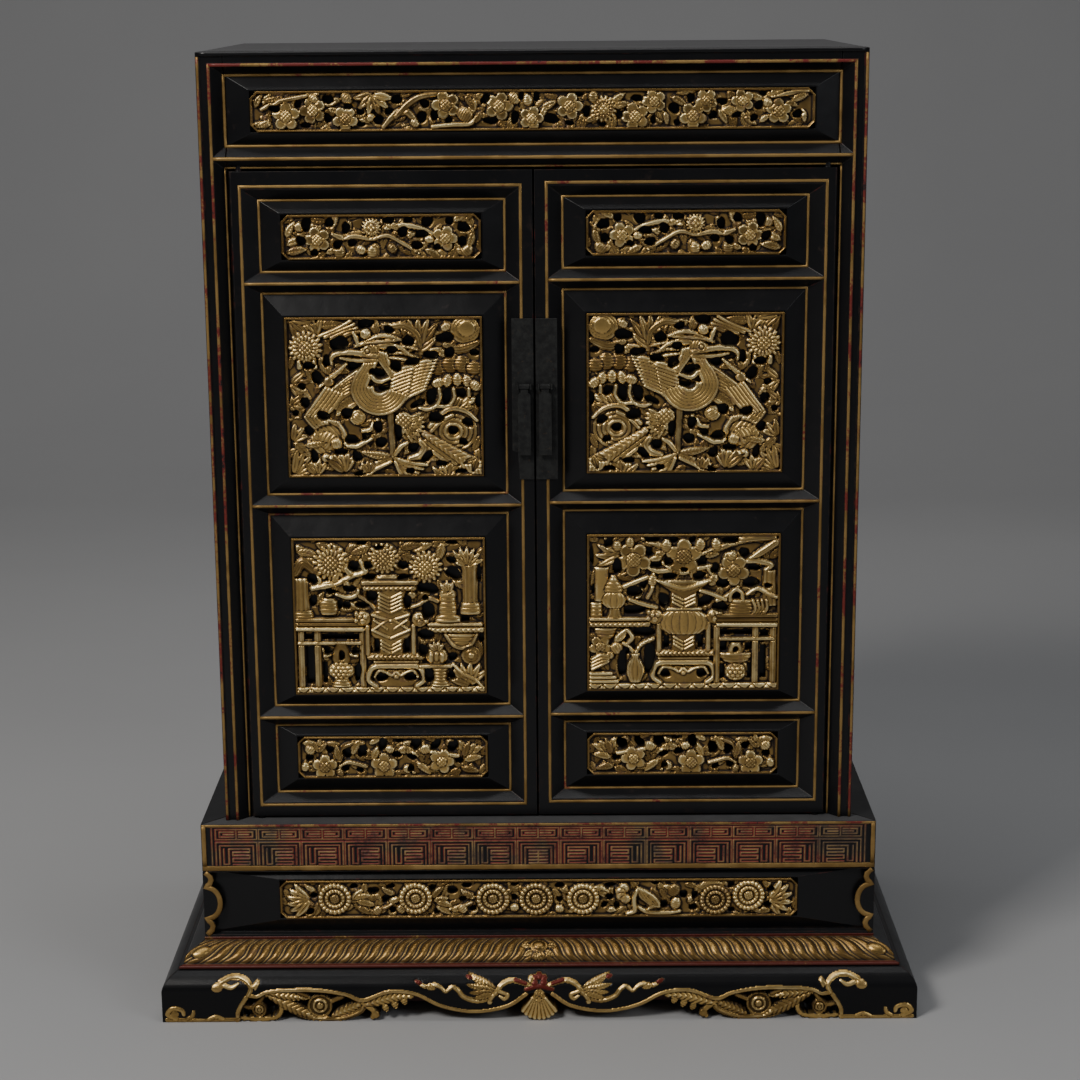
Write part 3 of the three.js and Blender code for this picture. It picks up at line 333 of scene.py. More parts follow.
def dressed(node, material=LACQUER, edge=EDGE, bevel=0.45, sharp=24):
    """A copy of a node with its flat faces joined and its edges rounded over"""
    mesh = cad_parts[node].data
    bm = bmesh.new()
    bm.from_mesh(mesh)
    bmesh.ops.remove_doubles(bm, verts=bm.verts, dist=0.01 * MM)
    bmesh.ops.dissolve_limit(bm, angle_limit=math.radians(0.6), verts=bm.verts, edges=bm.edges)
    for face in bm.faces:
        face.material_index = 0
    corners = [e for e in bm.edges if e.is_manifold and e.calc_face_angle() > math.radians(sharp)]
    bmesh.ops.bevel(bm, geom=corners, offset=bevel * MM, offset_type="OFFSET", segments=2, profile=0.6,
                    affect="EDGES", clamp_overlap=True, material=1)
    for layer in list(bm.loops.layers.uv):
        bm.loops.layers.uv.remove(layer)
    made = bpy.data.meshes.new(node + "_finished")
    bm.to_mesh(made)
    bm.free()
    made.materials.append(material)
    made.materials.append(edge)
    made.polygons.foreach_set("use_smooth", [True] * len(made.polygons))
    piece = bpy.data.objects.new(node + "_finished", made)
    bpy.context.scene.collection.objects.link(piece)
    even = piece.modifiers.new("even_shading", "WEIGHTED_NORMAL")
    even.keep_sharp = False
    even.weight = 90
    return piece


def join(pieces, name):
    """Several meshes as one piece"""
    flatten(pieces)
    with bpy.context.temp_override(active_object=pieces[0], selected_editable_objects=pieces):
        bpy.ops.object.join()
    pieces[0].name = name
    return pieces[0]


def flatten(pieces):
    """Applies the modifiers, so that the shapes can be joined"""
    bpy.context.view_layer.update()
    seen = bpy.context.evaluated_depsgraph_get()
    for piece in pieces:
        if piece.modifiers:
            shape = bpy.data.meshes.new_from_object(piece.evaluated_get(seen))
            piece.modifiers.clear()
            piece.data = shape


def settle(piece, body, slot, *nodes):
    """The piece rides on a body and stands for its nodes"""
    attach(piece, body)
    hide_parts(*nodes)
    return piece


class Beads:
    """Half-round lines gathered into one mesh. Points are (x, z) in mm on a plane that faces the front."""

    SECTION = [(-0.5, 0.0), (-0.36, 0.62), (0.0, 1.0), (0.36, 0.62), (0.5, 0.0)]

    def __init__(self, seed=1):
        self.vertices, self.faces, self.slots = [], [], []
        self.random = np.random.default_rng(seed)

    def line(self, points, y, width=2.0, rise=0.6, slot=0, closed=False, step=5.0, uneven=0.10):
        """A line through the points, of slightly uneven width, with mitred corners"""
        path = np.array(points, float)
        if closed:
            path = np.vstack([path, path[:1]])
        dense, corner = [path[0]], [True]
        for a, b in zip(path[:-1], path[1:]):
            count = max(1, round(np.hypot(*(b - a)) / step))
            for k in range(1, count + 1):
                dense.append(a + (b - a) * k / count)
                corner.append(k == count)
        dense = np.array(dense[:-1] if closed else dense)
        corner = corner[:len(dense)]
        before = np.roll(dense, 1, axis=0)
        after = np.roll(dense, -1, axis=0)
        if not closed:
            before[0] = 2 * dense[0] - dense[1]
            after[-1] = 2 * dense[-1] - dense[-2]
        first = (dense - before) / np.hypot(*(dense - before).T)[:, None]
        second = (after - dense) / np.hypot(*(after - dense).T)[:, None]
        normal = np.stack([-(first + second)[:, 1], (first + second)[:, 0]], axis=1)
        normal /= np.maximum(np.sum(normal ** 2, axis=1), 1.6)[:, None] / 2
        start = len(self.vertices)
        size = len(self.SECTION)
        for point, side, sharp in zip(dense, normal, corner):
            swell = 1 + (0 if sharp else self.random.uniform(-uneven, uneven))
            for across, out in self.SECTION:
                x, z = point + side * across * width * swell
                self.vertices.append((x * MM, (y - out * rise * swell) * MM, z * MM))
        count = len(dense)
        for i in range(count if closed else count - 1):
            a, b = start + i * size, start + (i + 1) % count * size
            for k in range(size - 1):
                self.faces.append((a + k, b + k, b + k + 1, a + k + 1))
                self.slots.append(slot)
            self.faces.append((a + size - 1, b + size - 1, b, a))
            self.slots.append(slot)
        if not closed:
            last = start + (count - 1) * size
            self.faces.append(tuple(range(start, start + size)))
            self.faces.append(tuple(range(last + size - 1, last - 1, -1)))
            self.slots += [slot, slot]

    def rectangle(self, x0, x1, z0, z1, y, **look):
        """A closed line round a rectangle"""
        self.line([(x0, z0), (x1, z0), (x1, z1), (x0, z1)], y, closed=True, **look)

    def made(self, name, materials):
        """All the lines as one object"""
        piece = new_object(name, self.vertices, self.faces, materials)
        piece.data.polygons.foreach_set("material_index", self.slots)
        bm = bmesh.new()
        bm.from_mesh(piece.data)
        bmesh.ops.recalc_face_normals(bm, faces=bm.faces)
        bm.to_mesh(piece.data)
        bm.free()
        return piece


# ---------------------------------------------------------------- relief carving
NO_CUT = 99.0                    # stands for a place far from any hole, in mm
CUT_WIDTH = 0.9                  # width of the cut round a form, in mm
TONE = 0.4                       # how bright the gold is where nothing is laid: 0 dull, 1 bright
TRENCH = 0.7                     # depth of the cut round a form, in mm
ALL_TONES = (0.05, 1.0)
RIM_TONE = 0.12


def smooth_noise(shape, cell, scale, seed):
    """Soft random hills between -1 and 1, about `scale` mm across"""
    rng = np.random.default_rng(seed)
    coarse = rng.uniform(-1, 1, [int(n * cell / scale) + 3 for n in shape])
    steps = [np.arange(n) * cell / scale for n in shape]
    (i, fi), (j, fj) = [(p.astype(int), p - p.astype(int)) for p in steps]
    fi, fj = (fi * fi * (3 - 2 * fi))[:, None], (fj * fj * (3 - 2 * fj))[None, :]
    near = coarse[np.ix_(i, j)] * (1 - fj) + coarse[np.ix_(i, j + 1)] * fj
    far = coarse[np.ix_(i + 1, j)] * (1 - fj) + coarse[np.ix_(i + 1, j + 1)] * fj
    return near * (1 - fi) + far * fi


def blurred(grid, cells):
    """The grid with each value spread over its neighbours"""
    reach = int(2.5 * cells) + 1
    kernel = np.exp(-0.5 * (np.arange(-reach, reach + 1) / cells) ** 2)
    kernel /= kernel.sum()
    for axis in (0, 1):
        padded = np.pad(grid, [(reach, reach) if k == axis else (0, 0) for k in (0, 1)], mode="edge")
        grid = np.apply_along_axis(np.convolve, axis, padded, kernel, "valid")
    return grid


def ridges(phase, sharp=0.6):
    """Rounded ridges with narrow valleys between: 0 in a valley, 1 on a crest, one for each unit of phase"""
    return np.abs(np.sin(np.pi * phase)) ** sharp


def shoulder(inside, soft):
    """A quarter-round edge: 0 at the outline, 1 at `soft` mm inside it"""
    x = np.clip(inside / soft, 0, 1)
    return np.sqrt(np.clip(1 - (1 - x) ** 2, 0, 1))


def turned(du, dv, angle):
    """Offsets measured along and across a direction at `angle` degrees"""
    c, s = math.cos(math.radians(angle)), math.sin(math.radians(angle))
    return du * c + dv * s, dv * c - du * s


def curve_through(path, half, steps=6):
    """Points on a smooth curve through a short list, with the half widths between"""
    p = np.vstack([2 * path[0] - path[1], path, 2 * path[-1] - path[-2]])
    out, wide = [], []
    for i in range(1, len(p) - 2):
        for t in np.arange(steps) / steps:
            out.append(0.5 * (2 * p[i] + (p[i + 1] - p[i - 1]) * t
                              + (2 * p[i - 1] - 5 * p[i] + 4 * p[i + 1] - p[i + 2]) * t ** 2
                              + (3 * p[i] - p[i - 1] - 3 * p[i + 1] + p[i + 2]) * t ** 3))
            wide.append(half[i - 1] + (half[i] - half[i - 1]) * t)
    return np.array(out + [path[-1]]), np.array(wide + [half[-1]])


class Board:
    """A carved board as a grid of heights: u to the right, v up, heights out from the back, all in mm"""

    def __init__(self, width, height, cell, ground, seed=1, left=0.0):
        self.left, self.width, self.height, self.cell = left, width, height, cell
        columns, rows = round(width / cell) + 1, round(height / cell) + 1
        self.u, self.v = np.meshgrid(np.linspace(left, left + width, columns), np.linspace(0, height, rows))
        self.h = np.full(self.u.shape, float(ground))
        self.tone = np.full(self.u.shape, TONE)
        self.inside = np.full(self.u.shape, NO_CUT)   # distance into the wood from the nearest hole
        self.paint = np.ones(self.u.shape)            # 1 where there is gold
        self.ruddy = np.zeros(self.u.shape)           # 1 where the gold has worn to red
        self.tones = ALL_TONES                        # how bright the next forms are, drawn at random between
        self.trench = TRENCH
        self.red = 0.0                                # how red the next forms are
        self.growing = False                          # whether the next forms add wood where it was cut away
        self.random = np.random.default_rng(seed)

    def window(self, u, v, reach):
        """The part of the grid near a point, and its coordinates from that point"""
        rows, columns = self.u.shape
        i0, i1 = (int(np.clip((v + s * reach) / self.height * (rows - 1) + s, 0, rows)) for s in (-1, 1))
        j0, j1 = (int(np.clip((u - self.left + s * reach) / self.width * (columns - 1) + s, 0, columns))
                  for s in (-1, 1))
        part = (slice(i0, i1 + 1), slice(j0, j1 + 1))
        return part, self.u[part] - u, self.v[part] - v

    def lay(self, part, inside, top, trench=None):
        """Lay a form on the board where `inside` is positive, with a cut all round it"""
        trench = self.trench if trench is None else trench
        lowered = self.h[part] - trench * np.clip(1 + inside / CUT_WIDTH, 0, 1) ** 2
        self.h[part] = np.where(inside > 0, top, lowered)
        tone = self.random.uniform(*self.tones)
        for grid, value in ((self.tone, tone), (self.paint, 1.0), (self.ruddy, self.red)):
            grid[part] = np.where(inside > 0, value, grid[part])
        if self.growing:
            self.inside[part] = np.maximum(self.inside[part], inside)

    def pierce(self, u, v, across, high, angle=0.0):
        """Cut a hole with an uneven round outline"""
        part, du, dv = self.window(u, v, max(across, high) + 3)
        x, y = turned(du, dv, angle)
        a = np.arctan2(y / high, x / across)
        seed = u * 1.3 + v
        wobble = 1 + 0.09 * np.sin(2 * a + seed) + 0.06 * np.sin(3 * a + seed * 2.9)
        wobble += 0.03 * np.sin(5 * a + seed)
        reach = (np.abs(x / across) ** 2.3 + np.abs(y / high) ** 2.3) ** (1 / 2.3)
        self.open(part, (reach - wobble) * min(across, high))

    def slot(self, u0, u1, v0, v1):
        """Cut a square-cornered hole"""
        part, du, dv = self.window((u0 + u1) / 2, (v0 + v1) / 2, max(u1 - u0, v1 - v0) / 2 + 3)
        self.open(part, np.maximum(np.abs(du) - (u1 - u0) / 2, np.abs(dv) - (v1 - v0) / 2))

    def open(self, part, inside):
        """Cut the wood away where `inside` is negative, and round the edge of the cut"""
        self.inside[part] = np.minimum(self.inside[part], inside)
        self.h[part] -= 1.2 * np.clip(1 - inside / 1.1, 0, 1) ** 2

    # Motifs
    def leaf(self, u, v, angle, length, width, top=7.5, bend=0.0, veins=2.2, rise=1.6):
        """A pointed leaf with a middle vein and slanting side veins; bend bows it to the left"""
        part, du, dv = self.window(u, v, length * 1.05 + width)
        along, side = turned(du, dv, angle)
        s = along / length
        side = side - bend * length * s * (1 - s)
        half = width / 2 * np.clip(np.sin(np.pi * np.clip(s, 0, 1) ** 0.8), 0, 1) ** 0.75
        inside = np.where((s > 0) & (s < 1), half - np.abs(side),
                          -np.abs(side) - 3 * length * np.abs(s - 0.5))
        body = top - rise + rise * shoulder(inside, width * 0.35) - 0.9 * np.exp(-(side / 0.5) ** 2)
        if veins:
            body -= 0.9 * (1 - ridges((along - np.abs(side) * 1.2) / veins, 0.9)) * (np.abs(side) > 0.5)
        self.lay(part, inside, body)

    def fan(self, u, v, start, end, count, length, width, top=7.5, bend=0.0, veins=0.0):
        """Leaves spread from one point"""
        for angle in np.linspace(start, end, count):
            self.leaf(u, v, angle, length, width, top, bend, veins)

    def ribbon(self, points, top=8.0, grooves=0, barbs=0.0, slant=1.2, rise=1.6, trench=None, depth=0.9):
        """A rounded band through [u, v, half width]; grooves run along it, barbs slant across it"""
        path = np.array([[p[0], p[1]] for p in points], float)
        half = np.array([p[2] for p in points], float)
        middle = path.mean(axis=0)
        reach = max(np.hypot(*(path - middle).T) + half) + 4
        if len(path) > 2:
            path, half = curve_through(path, half)
        part, du, dv = self.window(*middle, reach)
        path = path - middle
        best = np.full(du.shape, 1e9)
        side, along, width = np.zeros(du.shape), np.zeros(du.shape), np.ones(du.shape)
        start = 0.0
        for a, b, wide, narrow in zip(path[:-1], path[1:], half[:-1], half[1:]):
            step = b - a
            size = np.hypot(*step) + 1e-9
            t = np.clip(((du - a[0]) * step[0] + (dv - a[1]) * step[1]) / size ** 2, 0, 1)
            x, y = du - a[0] - t * step[0], dv - a[1] - t * step[1]
            distance = np.hypot(x, y)
            near = distance < best
            best = np.where(near, distance, best)
            side = np.where(near, np.sign(step[0] * y - step[1] * x) * distance, side)
            along = np.where(near, start + t * size, along)
            width = np.where(near, wide + (narrow - wide) * t, width)
            start += size
        body = top - rise + rise * shoulder(width - best, np.maximum(width * 0.8, 0.6))
        if grooves:
            body -= depth * (1 - ridges(side / (2 * width) * grooves + 0.5 * (grooves % 2 == 0), 0.9))
        if barbs:
            cuts = depth * (1 - ridges((along - np.abs(side) * slant) / barbs, 0.9))
            body -= cuts - 0.5 * np.exp(-(side / 0.6) ** 2)
        self.lay(part, width - best, body, trench)

    def sheaf(self, count, points, steps, top, **look):
        """Ribbons side by side, each one moved on from the last by its steps"""
        for k in range(count):
            self.ribbon([[u + du * k, v + dv * k, half] for (u, v, half), (du, dv) in zip(points, steps)],
                        top, **look)

    def ball(self, u, v, across, high=None, top=8.5, rise=2.2, grooves=0.0, angle=0.0):
        """A round or oval boss, with cuts across it where `grooves` gives their pitch"""
        high = high or across
        part, du, dv = self.window(u, v, max(across, high) + 2)
        x, y = turned(du, dv, angle)
        r = np.hypot(x / across, y / high)
        body = top - rise + rise * np.sqrt(np.clip(1 - r ** 2, 0, 1))
        if grooves:
            body -= 0.8 * (1 - ridges(x / grooves, 0.9))
        self.lay(part, (1 - r) * min(across, high), body)

    def hatched(self, u, v, radius, top, pitch=2.3, angle=45):
        """A boss with crossing cuts"""
        part, du, dv = self.window(u, v, radius + 2)
        r = np.hypot(du, dv)
        a, b = turned(du, dv, angle)
        body = top - 0.8 + 0.8 * np.sqrt(np.clip(1 - (r / radius) ** 2, 0, 1))
        self.lay(part, radius - r, body - 1.2 * (1 - ridges(a / pitch, 0.8) * ridges(b / pitch, 0.8)), 0.9)

    def polar(self, u, v, reach):
        """The part of the grid round a point, with radius and turn about it"""
        part, du, dv = self.window(u, v, reach + 2)
        return part, np.hypot(du, dv), np.arctan2(dv, du) / (2 * np.pi)

    def chrysanthemum(self, u, v, radius, top=8.6, petals=17):
        """Narrow petals in two rings round a hatched middle"""
        for ring, reach in enumerate((radius, radius * 0.76)):
            part, r, a = self.polar(u, v, reach)
            lobe = ridges(a * petals + 0.5 * ring, 0.9)
            body = top - 1.5 + 0.75 * ring + 0.7 * np.sin(np.pi * np.clip(r / reach, 0, 1) ** 1.6)
            body -= 1.7 * (1 - lobe) * np.clip(r / reach * 2 - 0.4, 0, 1)
            self.lay(part, reach * (0.80 + 0.20 * lobe) - r, body, 0.9)
        self.hatched(u, v, radius * 0.44, top + 0.4)

    def plum(self, u, v, radius, top=8.8, petals=5, turn=0.0):
        """Separate round petals about a hatched boss"""
        for k in range(petals):
            a = 2 * math.pi * (k + turn) / petals - math.pi / 2
            du, dv = radius * 0.62 * math.cos(a), radius * 0.62 * math.sin(a)
            self.ball(u + du, v + dv, radius * 0.40, radius * 0.38, top, 1.4)
            self.ball(u + du * 1.04, v + dv * 1.04, radius * 0.28, radius * 0.26, top - 1.0, 0.3)
        self.hatched(u, v, radius * 0.42, top + 0.5, 1.8, 45)

    def daisy(self, u, v, radius, top=8.6, beads=22):
        """A beaded ring round petals and a small boss"""
        part, r, a = self.polar(u, v, radius)
        bead = ridges(a * beads, 0.55)
        outer = np.sqrt(np.clip(1 - ((r / radius - 0.83) / 0.17) ** 2, 0, 1)) * (0.35 + 0.65 * bead)
        inner_bead = ridges(a * (beads - 6), 0.55)
        inner = np.sqrt(np.clip(1 - ((r / radius - 0.49) / 0.13) ** 2, 0, 1)) * (0.3 + 0.7 * inner_bead)
        body = top - 2.5 + 2.3 * np.maximum(outer, 0.85 * inner)
        self.lay(part, radius * (0.92 + 0.08 * bead) - r, body, 0.8)
        self.hatched(u, v, radius * 0.28, top - 0.2, 1.5, 20)

    def undergrowth(self, count):
        """Fill the ground with small overlapping leaves that point all ways"""
        self.tones = (0.1, 0.55)
        self.trench = 0.4
        columns = max(1, round(math.sqrt(count * self.width / self.height)))
        rows = max(1, round(count / columns))
        for k in range(rows * columns):
            u = self.left + (k % columns + self.random.uniform(0.1, 0.9)) * self.width / columns
            v = (k // columns + self.random.uniform(0.1, 0.9)) * self.height / rows
            angle, length, top = self.random.uniform([0, 10, 6.2], [360, 18, 7.3])
            self.leaf(u, v, angle, length, length * 0.45, top, self.random.uniform(-0.25, 0.25), 1.9)
        self.trench = TRENCH

    def rim(self, width=1.5, top=8.0, corner=0.0):
        """A thin plain border; with a corner size, the corners are cut off at 45 degrees"""
        across = np.minimum(self.u - self.left, self.left + self.width - self.u)
        along = np.minimum(self.v, self.height - self.v)
        cut = (across + along - corner) / math.sqrt(2)
        inner = np.minimum(np.minimum(across, along), cut)
        lowered = self.h - TRENCH * np.clip(1 + (width - inner) / CUT_WIDTH, 0, 1) ** 2
        self.h = np.where(inner < width, top - 0.6 + 0.6 * shoulder(width - inner, 0.5), lowered)
        self.tone = np.where(inner < width, RIM_TONE, self.tone)
        if corner:
            self.inside = np.minimum(self.inside, cut)

    # Meshes
    def snapped(self):
        """Grid points, with those next to a cut moved onto its outline"""
        gv, gu = np.gradient(self.inside, self.cell)
        size = np.maximum(np.hypot(gu, gv), 1e-6)
        move = np.where(np.abs(self.inside) < 1.2 * self.cell, -self.inside, 0.0)
        move = np.clip(move, -0.7 * self.cell, 0.7 * self.cell)
        return self.u + move * gu / size, self.v + move * gv / size

    def mesh(self, name, place, material, lowest=0.8, highest=9.9, back=0.0):
        """A closed mesh: the carved face, the sides of every hole, and a flat back

        `place` turns (u, v, w) in mm into a point in metres.
        """
        keep = self.inside > -0.5 * self.cell
        cell = keep[:-1, :-1] & keep[1:, :-1] & keep[:-1, 1:] & keep[1:, 1:]
        rows, columns = self.u.shape
        index = np.arange(rows * columns).reshape(rows, columns)
        quads = np.stack([index[:-1, :-1], index[:-1, 1:], index[1:, 1:], index[1:, :-1]], axis=-1)[cell]
        used = np.unique(quads)
        order = np.full(rows * columns, -1)
        order[used] = np.arange(len(used))
        quads = order[quads]
        u, v = (grid.ravel()[used] for grid in self.snapped())
        height = np.clip(self.h, lowest, highest)
        face = place(u, v, height.ravel()[used])
        edges = np.concatenate([quads[:, [k, (k + 1) % 4]] for k in range(4)])
        keys = edges[:, 0] * len(used) + edges[:, 1]
        twins = edges[:, 1] * len(used) + edges[:, 0]
        border = edges[~np.isin(keys, twins)]
        rim = np.unique(border)
        below = np.full(len(used), -1)
        below[rim] = len(used) + np.arange(len(rim))
        floor = place(u[rim], v[rim], np.full(len(rim), back))
        walls = np.stack([border[:, 1], border[:, 0], below[border[:, 0]], below[border[:, 1]]], axis=-1)
        piece = new_object(name, np.vstack([face, floor]).tolist(), np.vstack([quads, walls]).tolist(),
                           [material])
        # cavity is high on ridges and low in cuts, level is high at the top of the relief; from them the gilt
        # finish paints shade in the cuts and low places and a highlight on the ridges
        sunk = height - blurred(height, 1.3 / self.cell)
        for label, grid in (("cavity", np.clip(0.5 + sunk * 0.42, 0, 1)), ("tone", self.tone),
                            ("level", (height - lowest) / (highest - lowest)), ("paint", self.paint),
                            ("ruddy", self.ruddy)):
            values = np.concatenate([grid.ravel()[used], grid.ravel()[used][rim]])
            layer = piece.data.attributes.new(label, "FLOAT", "POINT")
            layer.data.foreach_set("value", values.astype(np.float32))
        self.close_back(piece)
        return piece

    @staticmethod
    def close_back(piece):
        """Fills the back's outline and turns every face outwards"""
        bm = bmesh.new()
        bm.from_mesh(piece.data)
        loops = [e for e in bm.edges if e.is_boundary]
        bmesh.ops.triangle_fill(bm, use_beauty=False, use_dissolve=False, edges=loops)
        bmesh.ops.recalc_face_normals(bm, faces=bm.faces)
        bm.to_mesh(piece.data)
        bm.free()


def standing(node):
    """Where a carving stands: u along +X, v up and w towards the front, from the node's back corner"""
    lowest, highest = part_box(node)

    def place(u, v, w):
        return np.stack([lowest.x + u * MM, highest.y - w * MM, lowest.z + v * MM], axis=-1)

    return place


def mirrored(place, width):
    """The same place with left and right changed over"""
    return lambda u, v, w: place(width - u, v, w)


# ---------------------------------------------------------------- the carvings
CELL = 0.55                      # grid of the reliefs, in mm
CARVING_WIDTH = 128
GROUND = 5.2                     # height of the background over the back of a board
DOOR_RIM, DOOR_RIM_TOP = 1.3, 7.4
LOW_RIM, LOW_RIM_TOP = 1.2, 7.2  # rim of the long low boards
CUT_CORNER = 4.2
BOARD_HEIGHT = {"bird": 105.2, "vase": 107.2, "top": 28.5, "bottom": 29}
FRIEZE_SIZE = (357, 25.2)
WAIST_SIZE = (351.6, 27)


def cut_out(b, holes, slots=()):
    """The board with its square slots, its round holes and its rim"""
    for edges in slots:
        b.slot(*edges)
    for hole in holes:
        b.pierce(*hole)
    b.rim(DOOR_RIM, DOOR_RIM_TOP)
    return b


def bird_carving():
    """A long-tailed bird on one leg with spread wings, among chrysanthemums and leaves"""
    b = Board(CARVING_WIDTH, BOARD_HEIGHT["bird"], CELL, GROUND, 11)
    b.undergrowth(130)
    b.tones = (0.15, 0.75)
    # leaves along the top and the left
    b.sheaf(4, [[22, 93, 1.3], [33, 97, 1.6], [43, 103, 1.2]],
            [[4, -0.6], [3, -0.8], [2, -2.4]], 7.6)
    b.fan(20, 93, 70, 190, 5, 14, 5, 7.2, 0.1)
    b.fan(4, 104, 285, 350, 3, 15, 5, 7.0)
    b.fan(3, 62, 300, 400, 4, 13, 5, 6.8)
    b.fan(3, 48, 310, 400, 3, 11, 4.6, 6.6)
    b.chrysanthemum(13.2, 85.4, 11.2, 8.8)
    b.fan(87, 83.5, 55, 125, 5, 22, 6, 7.8, 0.12)
    b.fan(86, 82, 10, 40, 2, 17, 5, 7.4, -0.2)
    b.fan(76, 82, 20, 75, 3, 14, 4.6, 7.4, 0.2)
    b.ribbon([[69, 99, 2.2], [78, 99.5, 2.6], [86, 94, 2.2], [88, 86, 1.6]], 7.6, grooves=3)
    # the corner boss and the flower behind the wing tip
    b.ball(117, 96.5, 9.6, 9.0, 7.4, 1.0)
    b.ball(117.4, 97, 7.4, 7.0, 7.9, 0.8)
    b.tones = (0.85, 1.0)
    b.ball(118, 97.6, 5.6, 5.2, 8.6, 0.8)
    b.ball(104.5, 98.5, 3.4, 2.6, 8.0, 1.2, 1.6, 30)
    b.tones = (0.1, 0.4)
    b.ribbon([[104, 87, 2.4], [111, 84, 3.0], [118, 85, 3.4], [125, 88, 2.0]], 7.2, grooves=4)
    for u, v, across in ((99, 72, 5.2), (107, 74, 5.6), (115, 74, 5.6), (122.5, 71.5, 4.6)):
        b.ball(u, v, across, 5.6, 7.4, 1.8, 2.0, 90)
    b.tones = (0.85, 1.0)
    for u, v, angle in ((99, 62, 20), (105, 63.4, 75), (111.5, 64, 90), (118, 63, 105), (123, 60, 140)):
        b.ball(u, v, 4.2, 3.2, 8.8, 1.8, 1.7, angle)
    b.ribbon([[99.6, 58, 1.2], [100, 52, 1.0], [97, 46.6, 1.3], [91, 44.6, 1.3], [86, 46, 1.0]], 8.6)
    b.ribbon([[109, 58, 1.2], [109.4, 52, 1.1], [106, 46.4, 1.2]], 8.6)
    b.ribbon([[119, 58, 1.2], [118.6, 52, 1.2], [113, 48.6, 1.4], [106, 46.4, 1.2], [97, 46.6, 1.2]], 8.4)
    b.leaf(113, 47, 20, 13, 5.6, 8.2, 0.2)
    b.tones = (0.3, 0.8)
    b.fan(108, 44, 10, 60, 3, 15, 4.6, 7.6, -0.2)
    # lower right: rings, then the barbed tail
    for radius, top in ((15.5, 6.8), (12.6, 7.4), (9.6, 8.0), (6.4, 8.5)):
        b.ball(108.5, 30, radius, radius * 0.9, top, 1.0, 0)
        b.ball(108.5, 30, radius - 1.9, (radius - 1.9) * 0.9, top - 0.9, 0.3)
    b.ribbon([[93, 33, 1.5], [99, 40, 1.6], [107, 45, 1.7], [117, 43, 1.6], [124, 37, 1.2]], 8.2)
    b.ribbon([[94, 30, 1.4], [101, 37, 1.5], [108, 40.6, 1.5]], 8.0)
    b.tones = (0.6, 0.9)
    b.ribbon([[89.5, 28.6, 2.0], [101, 20, 4.0], [112, 12.6, 5.0], [127, 3.4, 5.6]], 9.0, barbs=3.8,
             slant=1.1)
    for shift in (3.4, 6.8):
        b.ribbon([[90, 27 - shift, 1.3], [101, 18.5 - shift, 1.6], [112, 10 - 1.1 * shift, 1.5]], 8.0)
    b.tones = (0.3, 0.9)
    b.ribbon([[87, 23.4, 2.0], [89.4, 19, 2.4], [86, 14, 2.4], [79.5, 11.8, 1.8]], 8.4, grooves=3)
    b.fan(104, -2, 50, 140, 4, 13, 5, 7.4, 0.2)
    b.fan(124, 12, 200, 250, 2, 10, 4.4, 7.2)
    # the leg, the half flower beside it and the leaves under the foot
    b.fan(77, 35, 290, 395, 8, 13.5, 4.2, 8.4, 0.0, 0.0)
    b.fan(78, 36, 250, 380, 7, 9, 3.4, 8.8, 0.0, 0.0)
    b.hatched(76, 37.4, 5.6, 9.2)
    b.tones = (0.05, 0.3)
    b.ribbon([[67.4, 42, 2.0], [68, 30, 1.7], [68.6, 13, 1.9]], 9.0, grooves=2)
    b.tones = (0.4, 0.9)
    b.leaf(68, 13.5, 171, 21, 5.6, 8.6, 0.15)
    for k in range(5):
        b.ribbon([[67, 12 - 0.6 * k, 1.2], [57 - k, 8.5 - 1.5 * k, 1.6],
                  [47 + 2.4 * k, 5.6 - 2.2 * k, 1.0]], 8.6 - 0.1 * k)
        b.ribbon([[70, 12 - 0.6 * k, 1.2], [78 - k, 9.4 - 2.0 * k, 1.6], [91 - 3 * k, 7.6 - 2.6 * k, 1.0]],
                 8.6 - 0.1 * k)
    b.ribbon([[70, 15, 1.6], [74, 20, 1.8], [78, 22.4, 1.2]], 8.2)
    # lower left: striped leaves round two balls, and bright ribbons between the holes
    for k in range(5):
        b.ribbon([[12 + 1.9 * k, 40 + 0.6 * k, 1.1], [17 + 2.2 * k, 34 + 0.4 * k, 1.4],
                  [22.6 + 1.8 * k, 30 - 0.2 * k, 1.0]], 8.4, trench=0.4)
        b.ribbon([[27 + 1.6 * k, 38 - 0.4 * k, 1.0], [33 + 1.2 * k, 33 - 1.2 * k, 1.2],
                  [36 + 0.4 * k, 27 - 1.4 * k, 0.9]], 8.2, trench=0.4)
    b.ball(25, 25, 11, 9.2, 7.4, 1.6, 2.7, 40)
    b.ball(26.5, 24, 7, 6, 8.2, 1.6, 2.6, -35)
    b.leaf(11, 21, 8, 15, 4.6, 8.0, -0.1)
    b.tones = (0.95, 1.0)
    b.ball(31.9, 22.3, 3.8, 3.8, 9.6, 2.2, 1.6, 20)
    b.ball(45.9, 39.6, 5.4, 5.0, 8.2, 1.4)
    b.ball(46.4, 39.2, 3.6, 3.4, 9.0, 1.2, 1.7, 60)
    b.ribbon([[39, 20.6, 1.1], [45, 20.4, 1.7], [50, 23, 1.5], [55, 25.4, 1.2]], 8.8)
    b.ribbon([[49, 30.6, 1.2], [54, 31.6, 1.5], [57, 35, 2.2], [59, 37.6, 1.4]], 8.8)
    b.ball(25, 12.6, 3.2, 3.0, 9.0, 2.0)
    b.ball(29.6, 11.6, 3.0, 4.0, 9.2, 2.0, 1.8, 90)
    b.tones = (0.3, 0.8)
    b.fan(36, 3, 55, 140, 5, 15, 5.2, 7.8)
    b.fan(3, 2, 10, 80, 5, 17, 5, 7.2)
    b.fan(18, 1, 50, 130, 4, 12, 4.6, 7.0)
    b.fan(3, 24, 20, 80, 3, 12, 4.6, 6.8)
    b.fan(52, 2, 60, 120, 3, 9, 4, 7.2)
